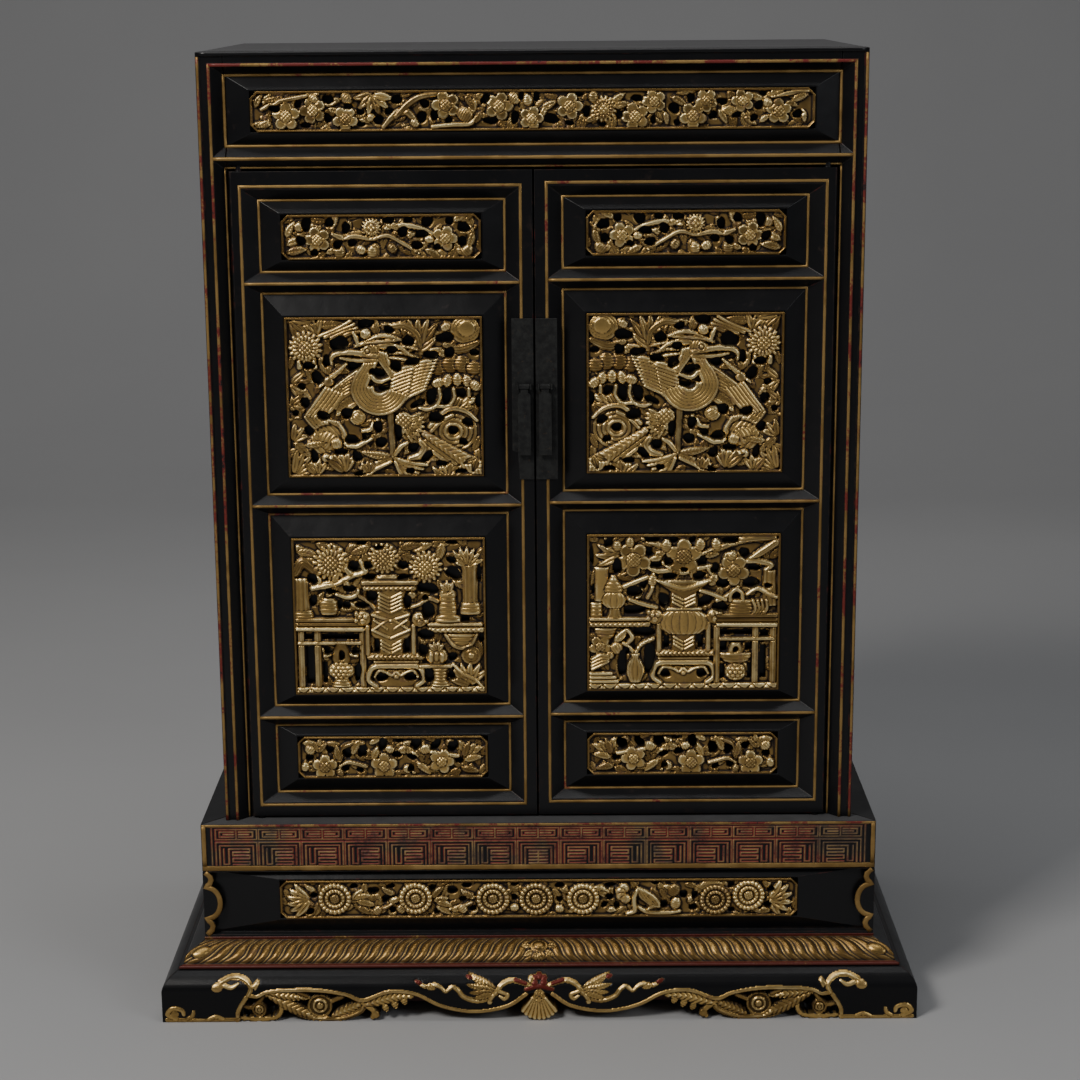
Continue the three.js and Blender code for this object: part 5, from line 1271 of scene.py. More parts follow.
def spray(width, height, seed, flowers, leaves, holes, scrolls, leafy=40):
    """Blossoms and leaves on winding stems in a long low board"""
    b = Board(width, height, CELL, GROUND, seed)
    b.undergrowth(leafy)
    b.tones = (0.2, 0.75)
    for points in scrolls:
        b.ribbon(points, 8.0)
    for u, v, angle, length in leaves:
        b.leaf(u, v, angle, length, length * 0.42, 7.8, 0.2, 1.9)
    b.tones = (0.2, 1.0)
    for kind, u, v, radius in flowers:
        if kind == "bud":
            b.ball(u, v, radius, radius * 0.85, 8.6, 1.8, 1.5, u * 17)
        elif kind == "daisy":
            b.daisy(u, v, radius)
        elif kind == "mum":
            b.chrysanthemum(u, v, radius, 8.6, 16)
        elif kind == "plum":
            b.plum(u, v, radius, 9.0, turn=0.25 * (int(u) % 4))
    for hole in holes:
        b.pierce(*hole)
    b.rim(LOW_RIM, LOW_RIM_TOP, CUT_CORNER)
    return b


def top_carving():
    """A stem with two blossoms, above the birds"""
    flowers = [("plum", 23, 12.5, 8.4), ("plum", 105, 13, 8.0), ("mum", 58, 20, 6.4), ("bud", 58, 4.6, 3.8),
               ("bud", 71, 7, 3.6), ("bud", 12, 21, 3.8), ("bud", 37, 5, 4.4), ("bud", 51, 6, 3.6),
               ("bud", 95, 12.6, 3.2), ("bud", 119, 5, 4.2)]
    leaves = [(3, 9, 20, 13), (3, 14, 60, 12), (3, 4, 10, 14), (33, 20, 70, 11), (44, 25, 250, 12),
              (84, 4, 30, 13), (92, 22, 60, 10), (110, 24, 20, 10), (120, 22, 280, 13), (123, 17, 250, 12),
              (66, 24, 330, 12), (92, 6, 330, 12), (112, 6, 330, 12), (28, 4, 10, 10)]
    holes = [(16, 22.4, 3.2, 4.0), (31, 23.6, 2.6, 3.2), (12.6, 12, 3.2, 3.0), (36, 9.4, 2.8, 2.6),
             (45.4, 10.6, 2.8, 2.6), (21, 4.4, 2.4, 2.4), (41.6, 20, 3.0, 3.4), (69, 24.6, 3.4, 2.4),
             (81.6, 25, 2.8, 2.0), (93.6, 23.6, 3.4, 3.6), (108, 24, 2.4, 2.6), (78, 17.4, 3.2, 3.4),
             (90, 16, 4.0, 2.8), (87, 8.6, 3.4, 2.8), (117, 20, 3.8, 3.2), (116, 11, 3.0, 2.8),
             (100, 7.6, 2.4, 2.0)]
    stems = [[[33, 16, 1.2], [39, 14, 2.0], [48, 14.6, 1.6], [58, 13, 1.4], [68, 15, 1.4], [78, 10, 1.4],
              [88, 4, 1.2]],
             [[67, 19.6, 1.2], [78, 21.4, 1.8], [88, 20, 1.5], [96, 16.6, 1.3], [101, 14, 1.3]]]
    return spray(CARVING_WIDTH, BOARD_HEIGHT["top"], 31, flowers, leaves, holes, stems, 60)


def bottom_carving():
    """Three blossoms between curling stems, below the vases"""
    flowers = [("plum", 18, 8.0, 8.4), ("plum", 58, 8.4, 9.0), ("plum", 97, 11.4, 8.4),
               ("bud", 4.6, 8, 3.4), ("bud", 8, 20, 3.8), ("bud", 74, 6, 3.4), ("bud", 62, 20, 3.2),
               ("bud", 103, 24, 3.6), ("bud", 86, 20, 4.0), ("bud", 28, 4, 3.0)]
    leaves = [(3, 25, 345, 13), (14, 20, 80, 9), (14, 18, 110, 9), (14, 18, 50, 9), (28, 12, 100, 12),
              (36, 16, 60, 13), (48, 24, 20, 9), (50, 12, 60, 13), (66, 18, 10, 14), (76, 14, 100, 9),
              (84, 6, 350, 12), (80, 10, 320, 13), (112, 14, 30, 15), (112, 14, 50, 13), (112, 14, 70, 12),
              (112, 12, 10, 13), (110, 6, 350, 13), (72, 25, 340, 10)]
    holes = [(7.6, 14.4, 2.8, 2.4), (21.4, 20, 2.8, 2.6), (33, 17.4, 3.2, 3.4), (43.4, 18.6, 3.2, 4.2),
             (31.6, 6.6, 2.4, 2.0), (41.6, 5.6, 2.4, 2.0), (57, 23.6, 2.8, 4.8, -20),
             (66.6, 16.4, 3.0, 2.6), (68.6, 26, 2.4, 1.4), (79.6, 23.6, 3.2, 4.6, -25),
             (77, 14.6, 3.2, 2.4, -20), (76, 6.4, 2.4, 2.2), (93, 23, 2.8, 4.2, -30),
             (104.6, 22, 3.2, 4.4, -20), (108.6, 12, 2.8, 2.2)]
    stems = [[[28, 8, 1.2], [33, 11, 1.4], [39, 10, 1.4], [46, 8, 1.2]],
             [[28, 12, 1.2], [32, 22.4, 1.5], [44, 24.6, 1.4]],
             [[64, 18, 1.4], [74, 19, 2.0], [80, 15, 1.4]],
             [[72, 24, 1.2], [90, 18, 1.4], [108, 15, 1.3]]]
    return spray(CARVING_WIDTH, BOARD_HEIGHT["bottom"], 32, flowers, leaves, holes, stems, 60)


def frieze_carving():
    """Plum blossoms either side of a drooping lotus and a forked stem"""
    flowers = [("plum", 22.6, 9.5, 8.8), ("plum", 39.5, 13, 8.4), ("plum", 60, 7.8, 8.0),
               ("plum", 123.7, 16, 8.8), ("plum", 157.4, 15, 8.8), ("plum", 177.8, 7.4, 7.6),
               ("plum", 201.8, 14.8, 8.4), ("mum", 223.5, 13, 8.4), ("plum", 243.3, 8, 8.8),
               ("plum", 255.3, 17.4, 7.6), ("plum", 280, 8.2, 8.6), ("plum", 288.4, 17.6, 7.2),
               ("plum", 311.3, 17.4, 7.2), ("plum", 334, 10.8, 8.0), ("bud", 40, 20.6, 3.4),
               ("bud", 61, 20.6, 4.0), ("bud", 76.2, 8.6, 3.0), ("bud", 135.7, 10, 5.4),
               ("bud", 167, 20, 4.2), ("bud", 175.4, 18.8, 3.8), ("bud", 216.9, 20.4, 3.8),
               ("bud", 327, 16, 3.4), ("bud", 104, 5, 3.2)]
    leaves = [(13, 5, 180, 12), (12, 7, 205, 10), (3, 15, 60, 10), (8, 17, 50, 9), (18, 21, 190, 10),
              (47, 16, 20, 12), (49, 14, 340, 10), (142, 20, 250, 13), (136, 22, 300, 11),
              (146, 12, 240, 9), (184, 12, 30, 12), (184, 8, 60, 9), (228, 15, 40, 12), (229, 14, 10, 12),
              (262, 11, 280, 9), (266, 20, 330, 12), (296, 12, 300, 11), (298, 12, 345, 16),
              (312, 7, 330, 10), (342, 17, 20, 12), (338, 16, 345, 9), (328, 21, 20, 12), (349, 12, 280, 9),
              (322, 4, 30, 9), (206, 4, 160, 8), (212, 5, 20, 10)]
    stems = [[[7, 14, 1.2], [17, 18.4, 1.7], [31, 21.4, 1.5], [43, 23.6, 1.0]],
             [[84, 2.6, 1.4], [91, 10, 2.4], [98, 12.4, 2.6], [103, 8, 2.0], [105, 3.4, 1.2]],
             [[92, 9, 1.6], [99, 16, 2.2], [107, 21, 2.0], [119, 23, 1.4]],
             [[115, 2.6, 1.2], [127, 3.6, 1.5], [139, 4.4, 1.6], [144.6, 10, 1.2]],
             [[330, 20, 1.2], [342, 22, 1.6], [354, 23.6, 1.1]]]
    holes = [(15.4, 14.4, 3.6, 2.2), (30, 17, 2.2, 2.0), (49.4, 20, 3.4, 2.8), (62, 15.6, 2.4, 2.0),
             (49, 8.4, 2.4, 2.8), (35, 4, 3.6, 1.6), (69.6, 12, 2.2, 2.0), (81, 7, 3.2, 2.6),
             (87.6, 12.6, 2.4, 2.4), (70, 4.4, 2.4, 1.4), (92.6, 19.6, 3.2, 2.8), (110.4, 17, 3.0, 2.6),
             (108.4, 8.6, 3.2, 3.2), (116.4, 9.4, 2.4, 2.8), (125.5, 6.6, 2.2, 1.8),
             (148.6, 19.6, 2.6, 3.0, -30), (152, 6, 4.4, 2.2), (167.4, 8, 2.4, 3.8),
             (171.4, 21.4, 1.8, 2.4), (181, 21, 2.0, 2.8), (190.4, 7, 4.6, 3.0), (212.6, 11.4, 2.4, 3.2),
             (202, 4.4, 2.8, 1.6), (233.4, 9.2, 2.2, 2.4), (244.4, 19.4, 3.8, 1.9), (268, 13, 3.4, 3.2),
             (278.6, 19.4, 2.6, 2.6), (298.4, 17, 3.4, 2.0), (292.6, 8.6, 2.8, 2.4), (307.6, 8.8, 2.8, 1.8),
             (321.6, 14.6, 2.8, 2.6), (318.6, 6.8, 2.4, 2.2), (324, 21.8, 2.2, 1.3), (346, 9, 3.0, 2.6),
             (254.8, 6, 1.7, 2.4), (270, 4, 1.9, 1.9), (222.6, 3.4, 2.6, 1.1), (208, 22, 2.2, 1.3)]
    b = spray(*FRIEZE_SIZE, 33, flowers, leaves, holes, stems, 150)
    b.fan(78, 22.6, 190, 350, 6, 13, 5.2, 9.0)
    return b


def waist_carving():
    """Beaded daisies in a row, a curling leaf right of the middle and fans of leaves at the ends"""
    daisies = [(37, 14, 11.6), (92, 14, 11.6), (144.6, 13.4, 11.6), (174, 13.2, 11.8), (206, 13, 11.4),
               (296, 12, 11), (318.6, 15, 11.2)]
    flowers = [("daisy", *place) for place in daisies]
    flowers += [("bud", 66, 5.4, 3.6), ("bud", 82, 6.4, 3.4), ("bud", 124, 6.4, 3.6),
                ("bud", 269, 9.4, 4.2), ("bud", 268, 19, 4.6), ("bud", 190, 6, 3.2), ("bud", 159.4, 7, 3.2)]
    leaves = [(49, 13, 45, 11), (50, 14, 10, 12), (78, 17, 150, 11), (82, 14, 190, 10), (103, 14, 45, 12),
              (104, 12, 10, 11), (133, 14, 150, 12), (132, 17, 190, 10), (52, 8, 330, 12),
              (52, 12, 345, 13), (106, 8, 330, 12), (106, 11, 345, 12), (60, 3.6, 5, 12), (116, 5, 10, 12),
              (158, 20, 200, 8), (190, 20, 340, 9), (212, 21, 340, 14), (216, 18, 330, 11),
              (242, 3, 130, 9), (261, 22, 340, 9), (284, 21, 5, 19), (277, 10, 40, 8), (328, 3, 160, 8),
              (196, 3.4, 20, 8), (222, 4, 10, 9), (24, 20, 150, 9), (24, 6, 210, 9)]
    holes = [(22.6, 16.2, 2.0, 2.0), (20, 5, 2.6, 2.2), (50, 22.6, 2.6, 1.6), (63.4, 19.4, 3.4, 2.6),
             (71.7, 13.4, 2.8, 2.4), (75, 22.6, 2.6, 1.7), (76.2, 6, 2.4, 2.2), (103.6, 21.4, 2.4, 2.0),
             (117.1, 19.6, 3.2, 3.0), (127, 23, 3.2, 1.7), (124.2, 13.4, 2.4, 2.2), (131, 6.4, 2.2, 2.0),
             (159.4, 14.4, 1.8, 2.6), (159.4, 24, 2.6, 1.3), (190, 22.6, 3.0, 1.7), (190, 12.6, 2.0, 2.2),
             (224.4, 22.6, 3.4, 1.6), (223.8, 14.4, 2.8, 2.2), (220.4, 8.4, 2.2, 2.0), (229, 8, 2.0, 2.4),
             (261, 8.8, 2.6, 2.8), (274.4, 15.6, 2.4, 2.8), (282, 15.3, 2.2, 2.8), (281, 6.4, 2.6, 2.4),
             (306.6, 22.4, 2.2, 2.2), (334, 19.4, 2.4, 2.4), (332, 8, 2.6, 2.2), (255, 24, 2.2, 1.2),
             (307, 4.4, 1.9, 1.8), (106.6, 4, 2.2, 1.6)]
    stems = [[[22, 10, 1.0], [16, 14, 2.0], [8, 18.6, 1.4]],
             [[56, 4, 1.2], [70, 7, 1.5], [77, 11, 1.0]],
             [[110, 5, 1.2], [122, 7.4, 1.5], [130, 11, 1.0]],
             [[241, 9, 1.3], [250, 3.4, 1.8], [262, 2.6, 1.6], [272, 4, 1.0]]]
    b = spray(*WAIST_SIZE, 34, flowers, leaves, holes, stems, 150)
    b.tones = (0.75, 1.0)
    for a in np.radians((120, 165, 210, 255)):
        b.ball(236 + 4.6 * math.cos(a), 17.4 + 4.2 * math.sin(a), 3.6, 3.2, 9.4, 1.8)
    b.ribbon([[243, 20, 1.2], [240.6, 13, 1.7], [241, 5, 1.8], [236, 2.8, 1.2]], 9.2)
    b.tones = (0.2, 0.7)
    b.sheaf(5, [[243.4, 21, 0.9], [245.4, 15, 1.3], [252, 9, 1.2], [250, 5.4, 0.8]],
            [[1.4, -0.6], [2.3, -0.2], [1.6, -0.2], [0.8, 0.8]], 9.0, trench=0.4)
    b.tones = (0.4, 0.9)
    b.fan(20, 13, 130, 230, 6, 16, 5.2, 8.4, 0.1)
    b.fan(333, 13, -60, 60, 6, 16, 5.2, 8.6, -0.1)
    b.rim(LOW_RIM, LOW_RIM_TOP, CUT_CORNER)
    return b


# ---------------------------------------------------------------- the carved pieces
def set_carving(board, node, body, flip=False):
    """The carving in place of its node, mirrored if `flip`"""
    place = standing(node)
    if flip:
        place = mirrored(place, board.width)
    piece = board.mesh(node + "_gilt", place, GILT)
    return settle(piece, body, "gilt", node)


for side, vases in (("left", left_vase_carving), ("right", right_vase_carving)):
    for level, carving in (("top", top_carving), ("bird", bird_carving), ("vase", vases),
                           ("bottom", bottom_carving)):
        flip = side == "right" and level != "vase"
        set_carving(carving(), f"door_{side}_{level}_carving", side + "_door", flip)
set_carving(frieze_carving(), "frieze_carving", "cabinet")
set_carving(waist_carving(), "waist_carving", "cabinet")


# ---------------------------------------------------------------- the cabinet
def front(node):
    """The plane of a node's front, in mm"""
    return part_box(node)[0].y / MM


def rectangle_of(node, grow=0.0):
    """The edges of a node's front in mm: left, right, low, high"""
    low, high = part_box(node)
    return low.x / MM - grow, high.x / MM + grow, low.z / MM - grow, high.z / MM + grow


for node in ("side_panel_left", "side_panel_right", "back_panel", "floor_board"):
    settle(dressed(node, LACQUER, EDGE, 0.8), "cabinet", "lacquer", node)
settle(dressed("top_board", LACQUER_DUSTY, LACQUER_DUSTY, 0.8), "cabinet", "lacquer", "top_board")

FRAME_FRONT = front("post_left")
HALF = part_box("post_right")[1].x / MM
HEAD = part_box("top_rail")[1].z / MM
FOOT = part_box("post_left")[0].z / MM
EDGE_IN, RIDGE_IN, SLOPE_IN = 1.3, 8.1, 15.4      # how far in from the frame's outline its lines run
RAIL_LINE = 575.5                                 # height of the line on the rail above the doors
UNDER_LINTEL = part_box("lintel_rail")[0].z / MM + 0.9
SLOPE_DEPTH = 7.0                                 # how far the frame falls back to its openings
FRAME_FINISHES = [LACQUER, EDGE, LACQUER_DUSTY, GOLD_LINE_WORN, GOLD_LINE_RED, GOLD_LINE]
DUSTY, WORN, RED_WORN, GILDED = range(2, 6)       # places of the lines' finishes in that list


def frame_lines():
    """The beads and gold lines on the posts and rails"""
    ridge, slope, ridge_top = HALF - RIDGE_IN, HALF - SLOPE_IN, HEAD - RIDGE_IN
    lines = Beads(5)
    lines.line([(-HALF + EDGE_IN, HEAD - EDGE_IN), (HALF - EDGE_IN, HEAD - EDGE_IN)], FRAME_FRONT, 2.4, 0.5,
               DUSTY)
    for side in (-1, 1):
        edge = side * (HALF - 1.2)
        lines.line([(edge, FOOT), (edge, HEAD - 3)], FRAME_FRONT, 1.8, 0.5, WORN)
    lines.line([(-ridge, FOOT), (-ridge, ridge_top), (ridge, ridge_top), (ridge, FOOT)], FRAME_FRONT, 2.0,
               0.6, WORN)
    lines.line([(-ridge, ridge_top), (ridge, ridge_top)], FRAME_FRONT - 0.02, 2.1, 0.6, RED_WORN)
    lines.line([(-HALF + 9, RAIL_LINE), (HALF - 9, RAIL_LINE)], FRAME_FRONT, 2.2, 0.6, GILDED)
    for side in (-1, 1):
        edge = side * slope
        lines.line([(edge, FOOT), (edge, UNDER_LINTEL)], FRAME_FRONT + SLOPE_DEPTH - 0.2, 1.6, 0.7, GILDED)
    lines.line([(-slope, UNDER_LINTEL), (slope, UNDER_LINTEL)], FRAME_FRONT + SLOPE_DEPTH - 1, 1.6, 1.0,
               GILDED)
    lines.rectangle(*rectangle_of("frieze_panel", -0.4), FRAME_FRONT + SLOPE_DEPTH, width=2.0, rise=0.8,
                    slot=GILDED)
    return lines


members = ("post_left", "post_right", "lintel_rail", "top_rail")
frame_parts = [dressed(node) for node in members]
settle(join([*frame_parts, frame_lines().made("frame_lines", FRAME_FINISHES)], "front_frame"),
       "cabinet", "lacquer", *members)
settle(dressed("frieze_panel", LACQUER_DOOR, LACQUER_DOOR, 0.25, 12), "cabinet", "lacquer", "frieze_panel")


# ---------------------------------------------------------------- the doors
DOOR_LINE = (8.3, 187.6, 141.0, 557.7)            # outer gold line: inner x, outer x, low, high, in mm
RAIL_LINES = (202.9, 348.6, 495.4)                # heights of the lines between the panels
RAIL_ENDS = (9.3, 186.6)
PANEL_SIDES = (18.6, 176.5)
PANEL_HEIGHTS = ((147.9, 196.1), (209.4, 342.3), (355, 488.8), (502, 548.6))
RIGHT_LIFT = 1.4                                  # how much higher the right door's rails stand


def door(side, sign):
    """One door: its frame with gold lines, its four panels and its iron fittings"""
    body = side + "_door"
    name = f"door_{side}_frame"
    y = front(name)
    lift = RIGHT_LIFT if side == "right" else 0
    lines = Beads(7 + sign)

    def box(x0, x1, z0, z1, **look):
        """A rectangle measured from the middle of the front outwards"""
        lines.rectangle(*sorted((sign * x0, sign * x1)), z0 + lift, z1 + lift, **look)

    box(*DOOR_LINE, y=y, width=2.0, rise=0.55, slot=2)
    for z in RAIL_LINES:
        lines.line([(sign * x, z + lift) for x in RAIL_ENDS], y, width=2.0, rise=0.55, slot=2)
    for z0, z1 in PANEL_HEIGHTS:
        box(*PANEL_SIDES, z0 + 0.3, z1 - 0.3, y=y + 6.8, width=1.8, rise=0.8, slot=3)
    made = lines.made(name + "_lines", [LACQUER_DOOR, EDGE, GOLD_LINE, GOLD_LINE])
    settle(join([dressed(name, LACQUER_DOOR), made], name + "_finished"), body, "lacquer", name)
    for panel in ("bottom", "vase", "bird", "top"):
        node = f"door_{side}_{panel}_panel"
        settle(dressed(node, LACQUER_DOOR, LACQUER_DOOR, 0.25, 12), body, "lacquer", node)
    for kind, bevel, carrier in (("lock_plate", 0.3, body), ("pull_staple", 0.2, body),
                                 ("pull", 0.3, side + "_pull")):
        node = f"{kind}_{side}"
        settle(dressed(node, IRON, IRON, bevel), carrier, "iron", node)


door("left", -1)
door("right", 1)

# ---------------------------------------------------------------- the base
BAND_HALF = 228.2                # half the width of the straight band above the waist, in mm
BAND_FRONT = front("fret_band_front")
MITRE_FROM = 200                 # beyond this a relief spreads to meet the corner mitres
APRON_HALF = 255.2
APRON_HEIGHT = 33.5
BEDDED = 0.03                    # how deep a line's flat back is set in the wood, in mm

for node in ("base_back_board", "fret_band_left", "fret_band_right", "waist_left", "waist_right",
             "gadroon_moulding_left", "gadroon_moulding_right", "apron_left", "apron_right"):
    settle(dressed(node, LACQUER, EDGE, 0.6), "cabinet", "lacquer", node)
settle(dressed("base_top_board", LACQUER_DUSTY, EDGE, 0.6), "cabinet", "lacquer", "base_top_board")
settle(dressed("inner_board", RED_BOARD, RED_BOARD, 0.4), "cabinet", "red_lacquer", "inner_board")


def to_mitre(u, out, half):
    """x of a place on a board that is `half` wide, carried out to the mitre where it stands out by `out`"""
    end = (BAND_HALF + out - MITRE_FROM) / (half - MITRE_FROM)
    return np.sign(u) * (np.minimum(np.abs(u), MITRE_FROM) + np.maximum(np.abs(u) - MITRE_FROM, 0) * end)


def fret_carving():
    """Key frets in two rows: paired combs above, keys in nested hooks below, turned about the middle unit"""
    pitch, units = 29.2, 15
    width, height = 449.6, 28.3
    b = Board(width, height, CELL, 0.0, 41, -width / 2)
    b.tone[:] = 0.5

    def bar(u0, v0, u1, v1, thick=0.55):
        """A straight bar of the fret"""
        reach = max(abs(u1 - u0), abs(v1 - v0)) / 2
        part, du, dv = b.window((u0 + u1) / 2, (v0 + v1) / 2, reach + 2)
        inside = thick - np.maximum(np.abs(du) - abs(u1 - u0) / 2, np.abs(dv) - abs(v1 - v0) / 2)
        b.h[part] = np.maximum(b.h[part], 0.8 * np.clip(inside / 0.3, 0, 1))

    def path(middle, turn, *points):
        """Bars from point to point; turn -1 mirrors them about the middle"""
        for (u0, v0), (u1, v1) in zip(points[:-1], points[1:]):
            bar(middle + turn * (u0 - pitch / 2), v0, middle + turn * (u1 - pitch / 2), v1)

    for k in range(units):
        place = k - units // 2
        middle, turn = place * pitch, 1 if place <= 0 else -1
        path(middle, 1, (0.7, 0.3), (0.7, 16.7), (28.5, 16.7), (28.5, 0.3))
        path(middle, 1, (0.7, 18.8), (0.7, 26.0), (28.5, 26.0), (28.5, 18.8), (0.7, 18.8))
        path(middle, 1, (14.6, 18.8), (14.6, 26.0))
        for side in (-1, 1):
            path(middle, side, (13, 20.6), (3.4, 20.6), (3.4, 24.2), (13, 24.2))
            path(middle, side, (6, 22.4), (13, 22.4))
        if place:
            path(middle, turn, (3.2, 0.3), (3.2, 14.4), (26.0, 14.4), (26.0, 0.3))
            path(middle, turn, (5.8, 12.2), (5.8, 1.0), (9.4, 1.0), (9.4, 12.0), (23.4, 12.0), (23.4, 9.7),
                 (12, 9.7), (12, 7.4), (23.4, 7.4), (23.4, 5.1), (12, 5.1), (12, 2.8), (23.4, 2.8),
                 (23.4, 0.6), (12, 0.6))
        else:
            path(middle, turn, (3.2, 0.3), (3.2, 14.4), (26.0, 14.4), (26.0, 0.3))
            path(middle, turn, (5.7, 0.3), (5.7, 12.0), (23.5, 12.0), (23.5, 0.3))
            path(middle, turn, (14.6, 9.6), (14.6, 0.8))
            for v in (9.6, 7.4, 5.2, 3.0, 0.8):
                path(middle, turn, (8.6, v), (20.6, v))
    bar(-223, 27.8, 223, 27.8)
    for side in (-1, 1):
        bar(side * 221, 0, side * 221, 28)
    return b


def fret_band():
    """The band of key frets between gold edgings"""
    low, high = (corner.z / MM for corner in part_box("fret_band_front"))
    sunk, border, end = 0.85, 3.6, BAND_HALF - 0.4
    y = BAND_FRONT + BEDDED

    def place(u, v, w):
        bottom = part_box("fret_band_front")[0].z / MM + border
        return np.stack([u * MM, (BAND_FRONT + sunk - w) * MM, (bottom + v) * MM], -1)

    edging = Beads(9)
    edging.line([(-end, low + 1.9), (end, low + 1.9)], y, 3.5, 0.4, slot=0)
    for side in (-1, 1):
        x = side * (BAND_HALF - 1.9)
        edging.line([(x, low + border), (x, high - 0.4)], y, 3.0, 0.35, slot=0)
    edging.line([(-end, high - 1.1), (end, high - 1.1)], y, 1.7, 0.35, slot=1)
    strips = edging.made("fret_edging", [GOLD_FULL, GOLD_LINE_WORN])
    frets = fret_carving().mesh("frets", place, FRET, 0.0, 0.8, -0.4)
    body = dressed("fret_band_front", LACQUER_DUSTY, EDGE, 0.3)
    settle(join([body, strips, frets], "fret_band_front_finished"), "cabinet", "red_lacquer",
           "fret_band_front")


def waist():
    """The board under the band, with a gold line round its scalloped corner posts"""
    low, high = 51.9, 97.0
    cusp, bump, reach = 2.4, 6.2, 15.0      # how far in the outline comes at its points, lobes and belly
    tall = high - low
    v0, v1 = low + tall * 0.26, low + tall * 0.76
    outline = [(cusp, low), (bump - 0.6, low + tall * 0.08), (bump, low + tall * 0.14),
               (bump - 1, low + tall * 0.19), (cusp, v0)]
    for t in np.linspace(0.06, 1, 14):
        s = 1 - t
        outline.append((s ** 3 * cusp + 3 * s * t * reach + t ** 3 * cusp,
                        s ** 3 * v0 + 3 * s * s * t * v0 + 3 * s * t * t * v1 + t ** 3 * v1))
    outline += [(bump - 1, low + tall * 0.82), (bump, low + tall * 0.88), (bump - 0.6, low + tall * 0.93),
                (cusp, high)]
    lines = Beads(13)
    for side in (-1, 1):
        points = [(side * (BAND_HALF - inset + 0.5), z) for inset, z in outline]
        lines.line(points, BAND_FRONT + BEDDED, 3.8, 0.7, step=2.0, uneven=0.16)
    body = dressed("waist_front", LACQUER, EDGE, 0.25, 12)
    gold = lines.made("waist_lines", [GOLD_FULL])
    settle(join([body, gold], "waist_front_finished"), "cabinet", "lacquer", "waist_front")


def gadroons():
    """S-shaped lobes that lean away from a flower in the middle, on a bowed moulding between red fillets"""
    section = np.array([[16, 34], [16, 35.5], [13.6, 36.2], [13.4, 38.4], [12.4, 40.4], [10.6, 42.4],
                        [8.2, 44.3], [5.2, 46.2], [2.2, 47.7], [0, 48.6], [0.5, 50.2]])
    step = np.diff(section, axis=0)
    length = np.concatenate([[0], np.cumsum(np.hypot(*step.T))])
    slope = np.vstack([step[:1], step[:-1] + step[1:], step[-1:]])
    slope /= np.hypot(*slope.T)[:, None]

    def place(u, v, w):
        out, z, run, climb = (np.interp(v, length, column) for column in (*section.T, *slope.T))
        out, z = out + w * climb, z - w * run
        return np.stack([to_mitre(u, out, BAND_HALF), BAND_FRONT - out, z], -1) * MM

    b = Board(2 * BAND_HALF, length[-1], CELL, 0.0, 42, -BAND_HALF)
    foot, head = length[2], length[-2]
    s = np.clip((b.v - foot) / (head - foot), 0, 1)
    lean = 6 * (s - 0.5) + 36 * (s - 0.5) ** 3
    phase = (np.abs(b.u) + lean) / 8.3
    across = phase - np.floor(phase)
    belly = np.sin(np.pi * s) ** 0.5
    lobe = np.sin(np.pi * np.clip(across / 0.72, 0, 1)) ** 0.6
    thin = np.sin(np.pi * np.clip((across - 0.76) / 0.24, 0, 1)) ** 0.7
    field = (b.v > foot) & (b.v < head)
    b.h = np.where(field, -0.9 + belly * (1.5 * lobe + 1.0 * thin), 0.0)
    b.tone = np.where(thin > 0.4, 0.55, 0.45 * smooth_noise(b.u.shape, CELL, 11, 5))
    b.ruddy = np.where(field, 0.0, 0.75 + 0.35 * smooth_noise(b.u.shape, CELL, 24, 6))
    b.ruddy = np.where(b.v < foot, np.maximum(b.ruddy, 0.62), b.ruddy)
    b.trench, b.tones = 0.5, (0.2, 0.5)
    middle = (foot + head) / 2
    for du, dv, angle in ((-5, 2, 170), (5, 2, 10), (-4, -1, 215), (4, -1, 325)):
        b.leaf(du, middle + dv, angle, 8, 4.6, 0.9, rise=0.9)
    b.fan(0, middle - 1, 235, 305, 5, 8.4, 3.4, 0.9)
    b.ball(0, middle + 2.6, 6.4, 5.2, 1.0, 0.9)
    b.ball(0, middle + 2.2, 4.2, 3.6, 1.9, 1.4)
    for side in (-1, 1):
        b.ball(side * (BAND_HALF - 6), middle - 1, 4.0, 4.4, 1.5, 1.4)
    carved = b.mesh("gadroon_lobes", place, GILT, -1.5, 2.0, -2.4)

    back = (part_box("gadroon_moulding_front")[1].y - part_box("fret_band_front")[0].y) / MM
    low, high = (corner.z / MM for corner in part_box("gadroon_moulding_front"))
    core = [(-back, low + 0.1), (15.4, low + 0.1), (15.4, 35.2), (12.4, 36), (11.2, 40), (6, 44.4),
            (-1.6, 48.2), (-1.0, high - 0.1), (-back, high - 0.1)]
    vertices = [(side * (BAND_HALF + out) * MM, (BAND_FRONT - out) * MM, z * MM)
                for side in (-1, 1) for out, z in core]
    n = len(core)
    faces = [(k, (k + 1) % n, n + (k + 1) % n, n + k) for k in range(n)]
    faces += [tuple(range(n))[::-1], tuple(range(n, 2 * n))]
    body = new_object("gadroon_core", vertices, faces, [LACQUER], smooth=False)
    settle(join([body, carved], "gadroon_moulding_front_finished"), "cabinet", "gilt",
           "gadroon_moulding_front")


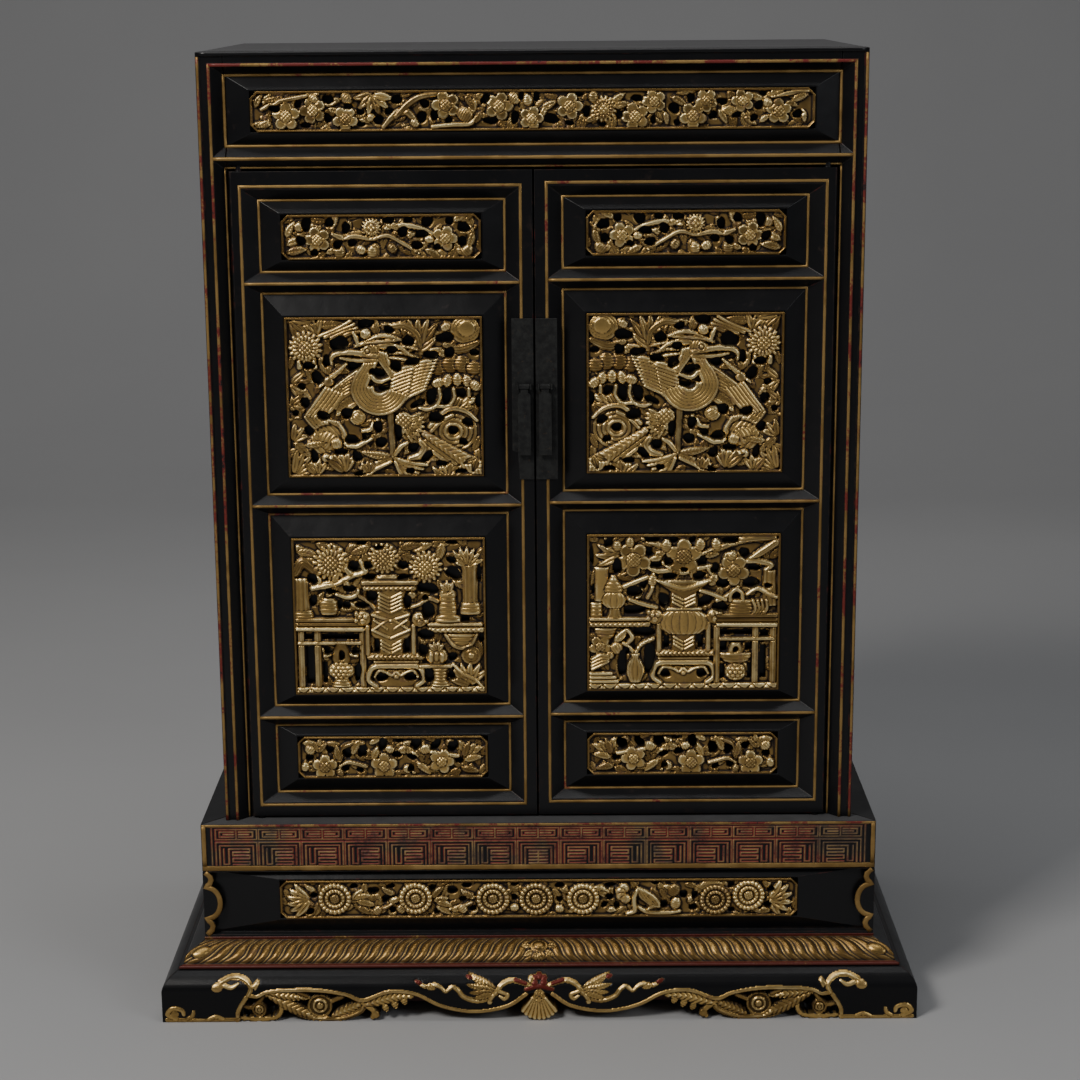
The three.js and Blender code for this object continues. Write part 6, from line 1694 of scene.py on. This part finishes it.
def apron():
    """An ogee edge over pierced brackets, with a shell, tendrils and scrolls in gold on black"""
    b = Board(2 * APRON_HALF, APRON_HEIGHT, CELL, 0.0, 43, -APRON_HALF)
    b.paint[:] = 0
    b.tone[:] = 0.5
    b.trench = 0.25
    foot = 203                              # where the feet's inner edges stand
    edge = [[foot, 0], [201.5, 9], [197, 17], [188, 20], [176, 21.5], [149, 21.5], [131, 18.5], [119, 14],
            [102, 20], [84, 18.5], [66, 9.5], [44, 5.4], [22, 9], [8, 18.5], [0, 20]]
    curve, _ = curve_through(np.array(edge, float), np.ones(len(edge)), 8)
    line = np.interp(np.abs(b.u), curve[::-1, 0], curve[::-1, 1])
    lean = np.gradient(line, b.cell, axis=1)
    b.inside = np.where(np.abs(b.u) > foot, np.abs(b.u) - foot + 3, (b.v - line) / np.sqrt(1 + lean ** 2))

    def both(draw):
        """Draws on each half: `at` gives a point of that half, and `side` is its sign"""
        for side in (-1, 1):
            draw(lambda u, v, *more: [side * u, v, *more], side)

    def brackets(at, side):
        """The pierced scrolls and acanthus leaves on either side of the shell"""
        def scroll(u, v, radius):
            """A coil in three turns"""
            b.tones = (0.3, 0.5)
            for share, top in ((1.0, -0.8), (0.60, -0.3)):
                b.ball(side * u, v, radius * share, radius * share, top, 0.8)
                b.ball(side * u, v, radius * share - 1.4, radius * share - 1.4, top - 1.2, 0.3)
            b.ball(side * u, v, radius * 0.26, radius * 0.26, -0.3, 0.6)

        b.ribbon([at(202.5, 2.6, 1.7), at(191, 1.6, 1.6), at(178, 2.8, 1.7), at(174.4, 9, 1.6),
                  at(177, 14, 1.3)], -0.6)
        b.ribbon([at(200, 11, 1.6), at(195, 9.6, 1.5), at(190, 13, 1.5), at(186, 18.6, 1.5)], -0.8)
        scroll(189.5, 8.2, 5.0)
        b.ribbon([at(181, 19.4, 2.0), at(172, 13, 2.2), at(162, 5.4, 2.4), at(148, 1.9, 1.8),
                  at(134, 2.0, 1.8), at(122, 6.4, 2.0), at(118, 12, 2.4)], 0.2, grooves=2)
        b.tones = (0.35, 0.7)
        b.ribbon([at(184, 19.4, 1.6), at(175, 14.6, 3.6), at(165, 9, 4.4), at(155, 4.4, 2.4)], 0.2,
                 barbs=3.6, slant=1.0)
        b.ribbon([at(182, 20.4, 1.4), at(172, 18.4, 3.2), at(162, 17.6, 2.6), at(156, 17, 1.2)], 0.3,
                 barbs=3.2, slant=1.0)
        scroll(148.4, 10.6, 8.4)
        b.ribbon([at(157, 18, 1.4), at(163, 20.5, 1.6)], -0.6)
        b.ribbon([at(140.5, 14, 1.4), at(133, 17.5, 1.8)], -0.6)
        b.tones = (0.35, 0.7)
        b.ribbon([at(139, 4, 1.6), at(133, 7, 3.0), at(126, 10, 3.0), at(120, 12.6, 1.6)], 0.2, barbs=3.2,
                 slant=1.0)
        b.ribbon([at(119, 13, 2.2), at(113, 8, 1.8), at(109.5, 4, 1.6), at(113, 2.6, 1.5)], 0.0)
        b.ball(side * 111, 4.6, 2.6, 2.6, 0.3, 0.9)
        b.tones = (0.6, 1.0)
        b.ribbon([at(118, 11.6, 1.6), at(108, 14.6, 4.0), at(98, 17, 3.6), at(86, 17.6, 1.4)], 0.3,
                 barbs=3.6, slant=1.0)
        for u, v in ((104, 9.4), (97.6, 11.6), (91.4, 14.2)):
            b.ball(side * u, v, 2.8, 2.2, 0.2, 1.0, 1.6, 60 * side)
        b.tones = (0.4, 0.8)

    b.growing = True
    both(brackets)

    def lines(at, side):
        """The line along the ogee edge and the one along the foot"""
        b.ribbon([at(204.5, 0.4, 1.3), at(203.6, 8, 1.3), at(200, 14.4, 1.4), at(196.4, 18.8, 1.5),
                  at(190.6, 18.4, 1.2), at(184, 21.4, 1.2), at(172, 22.7, 1.2), at(150, 22.7, 1.3),
                  at(131, 19.6, 1.3), at(119, 15.2, 1.5), at(102, 21.2, 1.3), at(84, 19.8, 1.3),
                  at(66, 10.8, 1.2), at(44, 6.7, 1.2), at(22, 10.4, 1.3), at(9, 19, 1.4)], 0.75, rise=0.7)
        b.red = 0.4
        b.ribbon([at(204, 1.5, 1.3), at(228, 1.4, 1.3), at(252, 1.6, 1.4)], 0.6, rise=0.6)
        b.red = 0.0

    both(lines)
    b.growing = False

    def scrolls(at, side):
        """The scrolls over the feet, the tendrils between the dips and the leaves beside the shell"""
        def turn(angle):
            """The angle as it lies on this side"""
            return angle if side > 0 else 180 - angle

        b.ribbon([at(246, 2.6, 2.0), at(251.5, 5.6, 1.8), at(248, 9.6, 1.9), at(242, 8.6, 1.6),
                  at(240.6, 5.4, 1.2)], 0.8)
        b.ball(side * 246.5, 5.8, 2.6, 2.2, 0.9, 0.6)
        b.ribbon([at(238, 2.4, 1.4), at(235, 4.4, 1.6), at(234, 7.6, 1.1)], 0.7)
        b.ribbon([at(224, 2.0, 1.2), at(219, 3.8, 1.5), at(214, 2.2, 1.2)], 0.7)
        b.ribbon([at(196.6, 19, 1.5), at(194.6, 24, 1.6), at(197, 28, 1.9), at(203, 30.4, 1.5),
                  at(210, 30.2, 1.7), at(216, 27.6, 2.2)], 1.0, grooves=2)
        b.ball(side * 217.6, 24.8, 3.8, 3.2, 1.0, 0.8)
        b.ribbon([at(213, 26, 1.5), at(208, 24.6, 1.6), at(203.6, 27, 0.8)], 0.9)
        b.ribbon([at(193, 25, 1.4), at(190.4, 27.6, 1.6), at(191.6, 23.6, 0.9)], 0.8)
        # tendril and leaves between the ogee's dips
        b.ribbon([at(82.5, 27.6, 0.8), at(77, 24.8, 1.4), at(70, 25.6, 1.4), at(66, 23.8, 1.2),
                  at(63, 21.2, 1.2), at(58.6, 24.4, 1.3), at(54.6, 22, 1.5), at(51, 17.4, 1.7),
                  at(43, 14.6, 2.0), at(35, 16, 2.0), at(28.6, 20.6, 1.8), at(25.4, 25.4, 1.7),
                  at(18.5, 28, 1.6), at(10.4, 26.4, 1.5), at(4, 23.6, 1.4)], 1.05, grooves=2)
        for k, size in enumerate((21, 20, 17, 14)):
            b.leaf(*at(29 + 0.8 * k, 23.4 - 1.3 * k), turn(24 - 13 * k), size, 5.0, 0.9, -0.1 * side)
        b.leaf(*at(77, 25), turn(195), 8, 3.6, 0.9)
        b.ribbon([at(31, 18, 1.4), at(33.4, 14.4, 1.2)], 1.0)
        b.ribbon([at(27, 21, 1.3), at(21.6, 18.6, 1.5), at(23.4, 15.6, 1.5), at(26.6, 17.6, 1.0)], 1.0)
        b.ball(side * 33.4, 13.4, 1.7, 1.6, 1.1, 0.7)
        b.red = 0.9
        b.leaf(*at(45, 29.2), turn(15), 5, 2.6, 0.9)
        b.leaf(*at(79, 26.2), turn(20), 6, 2.6, 1.0)
        b.ribbon([at(16, 28.2, 1.2), at(9, 26.2, 1.2)], 1.08)
        b.red = 0.0

    both(scrolls)
    b.growing = True
    b.tones = (0.7, 1.0)
    for k in range(9):
        angle = math.radians(270 + 9.0 * (k - 4))
        c, s = math.cos(angle), math.sin(angle)
        tip = 0.98 * (20.6 - 0.12 * (k - 4) ** 2)
        b.ribbon([[c, 21.6, 0.5], [11 * c, 22 + 11 * s, 1.0], [tip * c, 22 + tip * s, 1.6]], 1.05, rise=1.8,
                 trench=1.4)
    b.tones = (0.4, 0.8)
    b.growing = False
    b.fan(0, 23, 235, 305, 4, 8, 2.6, 1.05)
    b.red = 0.8
    b.ribbon([[-9, 22.4, 1.4], [0, 24.4, 1.7], [9, 22.4, 1.4]], 1.0)
    for a in np.radians((30, 90, 150, 210, 330)):
        b.ball(3.6 * math.cos(a), 28 + 2.4 * math.sin(a), 2.4, 2.0, 1.05, 0.8)
    b.red = 0.0
    b.ball(-5.6, 28.6, 1.8, 2.2, 1.0, 0.7)
    b.h += np.interp(b.v, [0, 22, 24.5, 26.5, 29, 30.8, 33.5], [26.9, 26.9, 26.3, 25.3, 23.2, 21.3, 16.9])

    def place(u, v, w):
        return np.stack([to_mitre(u, w, APRON_HALF), BAND_FRONT - w, np.maximum(v, 0)], -1) * MM

    piece = b.mesh("apron_front_finished", place, GILT_ON_BLACK, 15.5, 27.95, 9.2)
    # level set to 1 everywhere, so the gilt paints no shade in the apron's low places
    levels = piece.data.attributes["level"]
    levels.data.foreach_set("value", np.ones(len(levels.data), np.float32))
    settle(piece, "cabinet", "gilt", "apron_front")


fret_band()
waist()
gadroons()
apron()


# ---------------------------------------------------------------- camera, light and floor
def area_light(name, place, target, size, power, color=(1, 1, 1)):
    """A rectangular lamp that faces its target"""
    light = bpy.data.lights.new(name, "AREA")
    light.shape, light.size, light.size_y = "RECTANGLE", size[0], size[1]
    light.energy, light.color = power, color
    lamp = bpy.data.objects.new(name, light)
    lamp.location = place
    lamp.rotation_euler = (Vector(target) - Vector(place)).to_track_quat("-Z", "Y").to_euler()
    bpy.context.scene.collection.objects.link(lamp)


MIDDLE = (0, 0, 0.3)
WARM, COOL = (1.0, 0.97, 0.93), (0.93, 0.96, 1.0)
area_light("key", (-1.3, -1.5, 2.0), MIDDLE, (0.7, 0.6), 40, WARM)
area_light("fill", (1.7, -1.5, 1.3), MIDDLE, (1.0, 0.8), 9, COOL)
area_light("above", (0.0, -0.1, 2.3), (0, 0, 0.2), (1.4, 0.9), 13)

AMBIENT = (0.085, 0.088, 0.094, 1)
world = bpy.data.worlds.new("studio")
world.use_nodes = True
world.node_tree.nodes["Background"].inputs["Color"].default_value = AMBIENT
bpy.context.scene.world = world


def floor():
    """A plain pale floor that curves up behind the object"""
    near, bend, radius, top, steps = -6.0, 1.5, 1.2, 5.0, 12
    profile = [(near, 0.0), (bend, 0.0)]
    for k in range(1, steps + 1):
        a = math.radians(90 * k / steps)
        profile.append((bend + radius * math.sin(a), radius * (1 - math.cos(a))))
    profile.append((bend + radius, top))
    vertices = [(x, y, z) for y, z in profile for x in (-6, 6)]
    faces = [(2 * k, 2 * k + 1, 2 * k + 3, 2 * k + 2) for k in range(len(profile) - 1)]
    f = Finish("studio_floor")
    material = f.done(f.mix(f.noise(400, 3), *FLOOR_GREYS), 0.85)
    piece = new_object("studio_floor", vertices, faces, [material])


floor()

LENS, SENSOR = 77.4, 36
EYE = (0.00909, -1.5865, 0.6795)
RIGHT = Vector((0.99997, 0.00254, -0.00731))
UP = Vector((0.00652, 0.23115, 0.97290))
AHEAD = Vector((-0.00416, 0.97291, -0.23113))
camera = bpy.data.objects.new("camera", bpy.data.cameras.new("camera"))
camera.data.lens = LENS
camera.data.sensor_width = SENSOR
turn = Matrix((RIGHT, UP, -AHEAD)).transposed().to_4x4()
camera.matrix_world = Matrix.Translation(EYE) @ turn
bpy.context.scene.collection.objects.link(camera)
bpy.context.scene.camera = camera
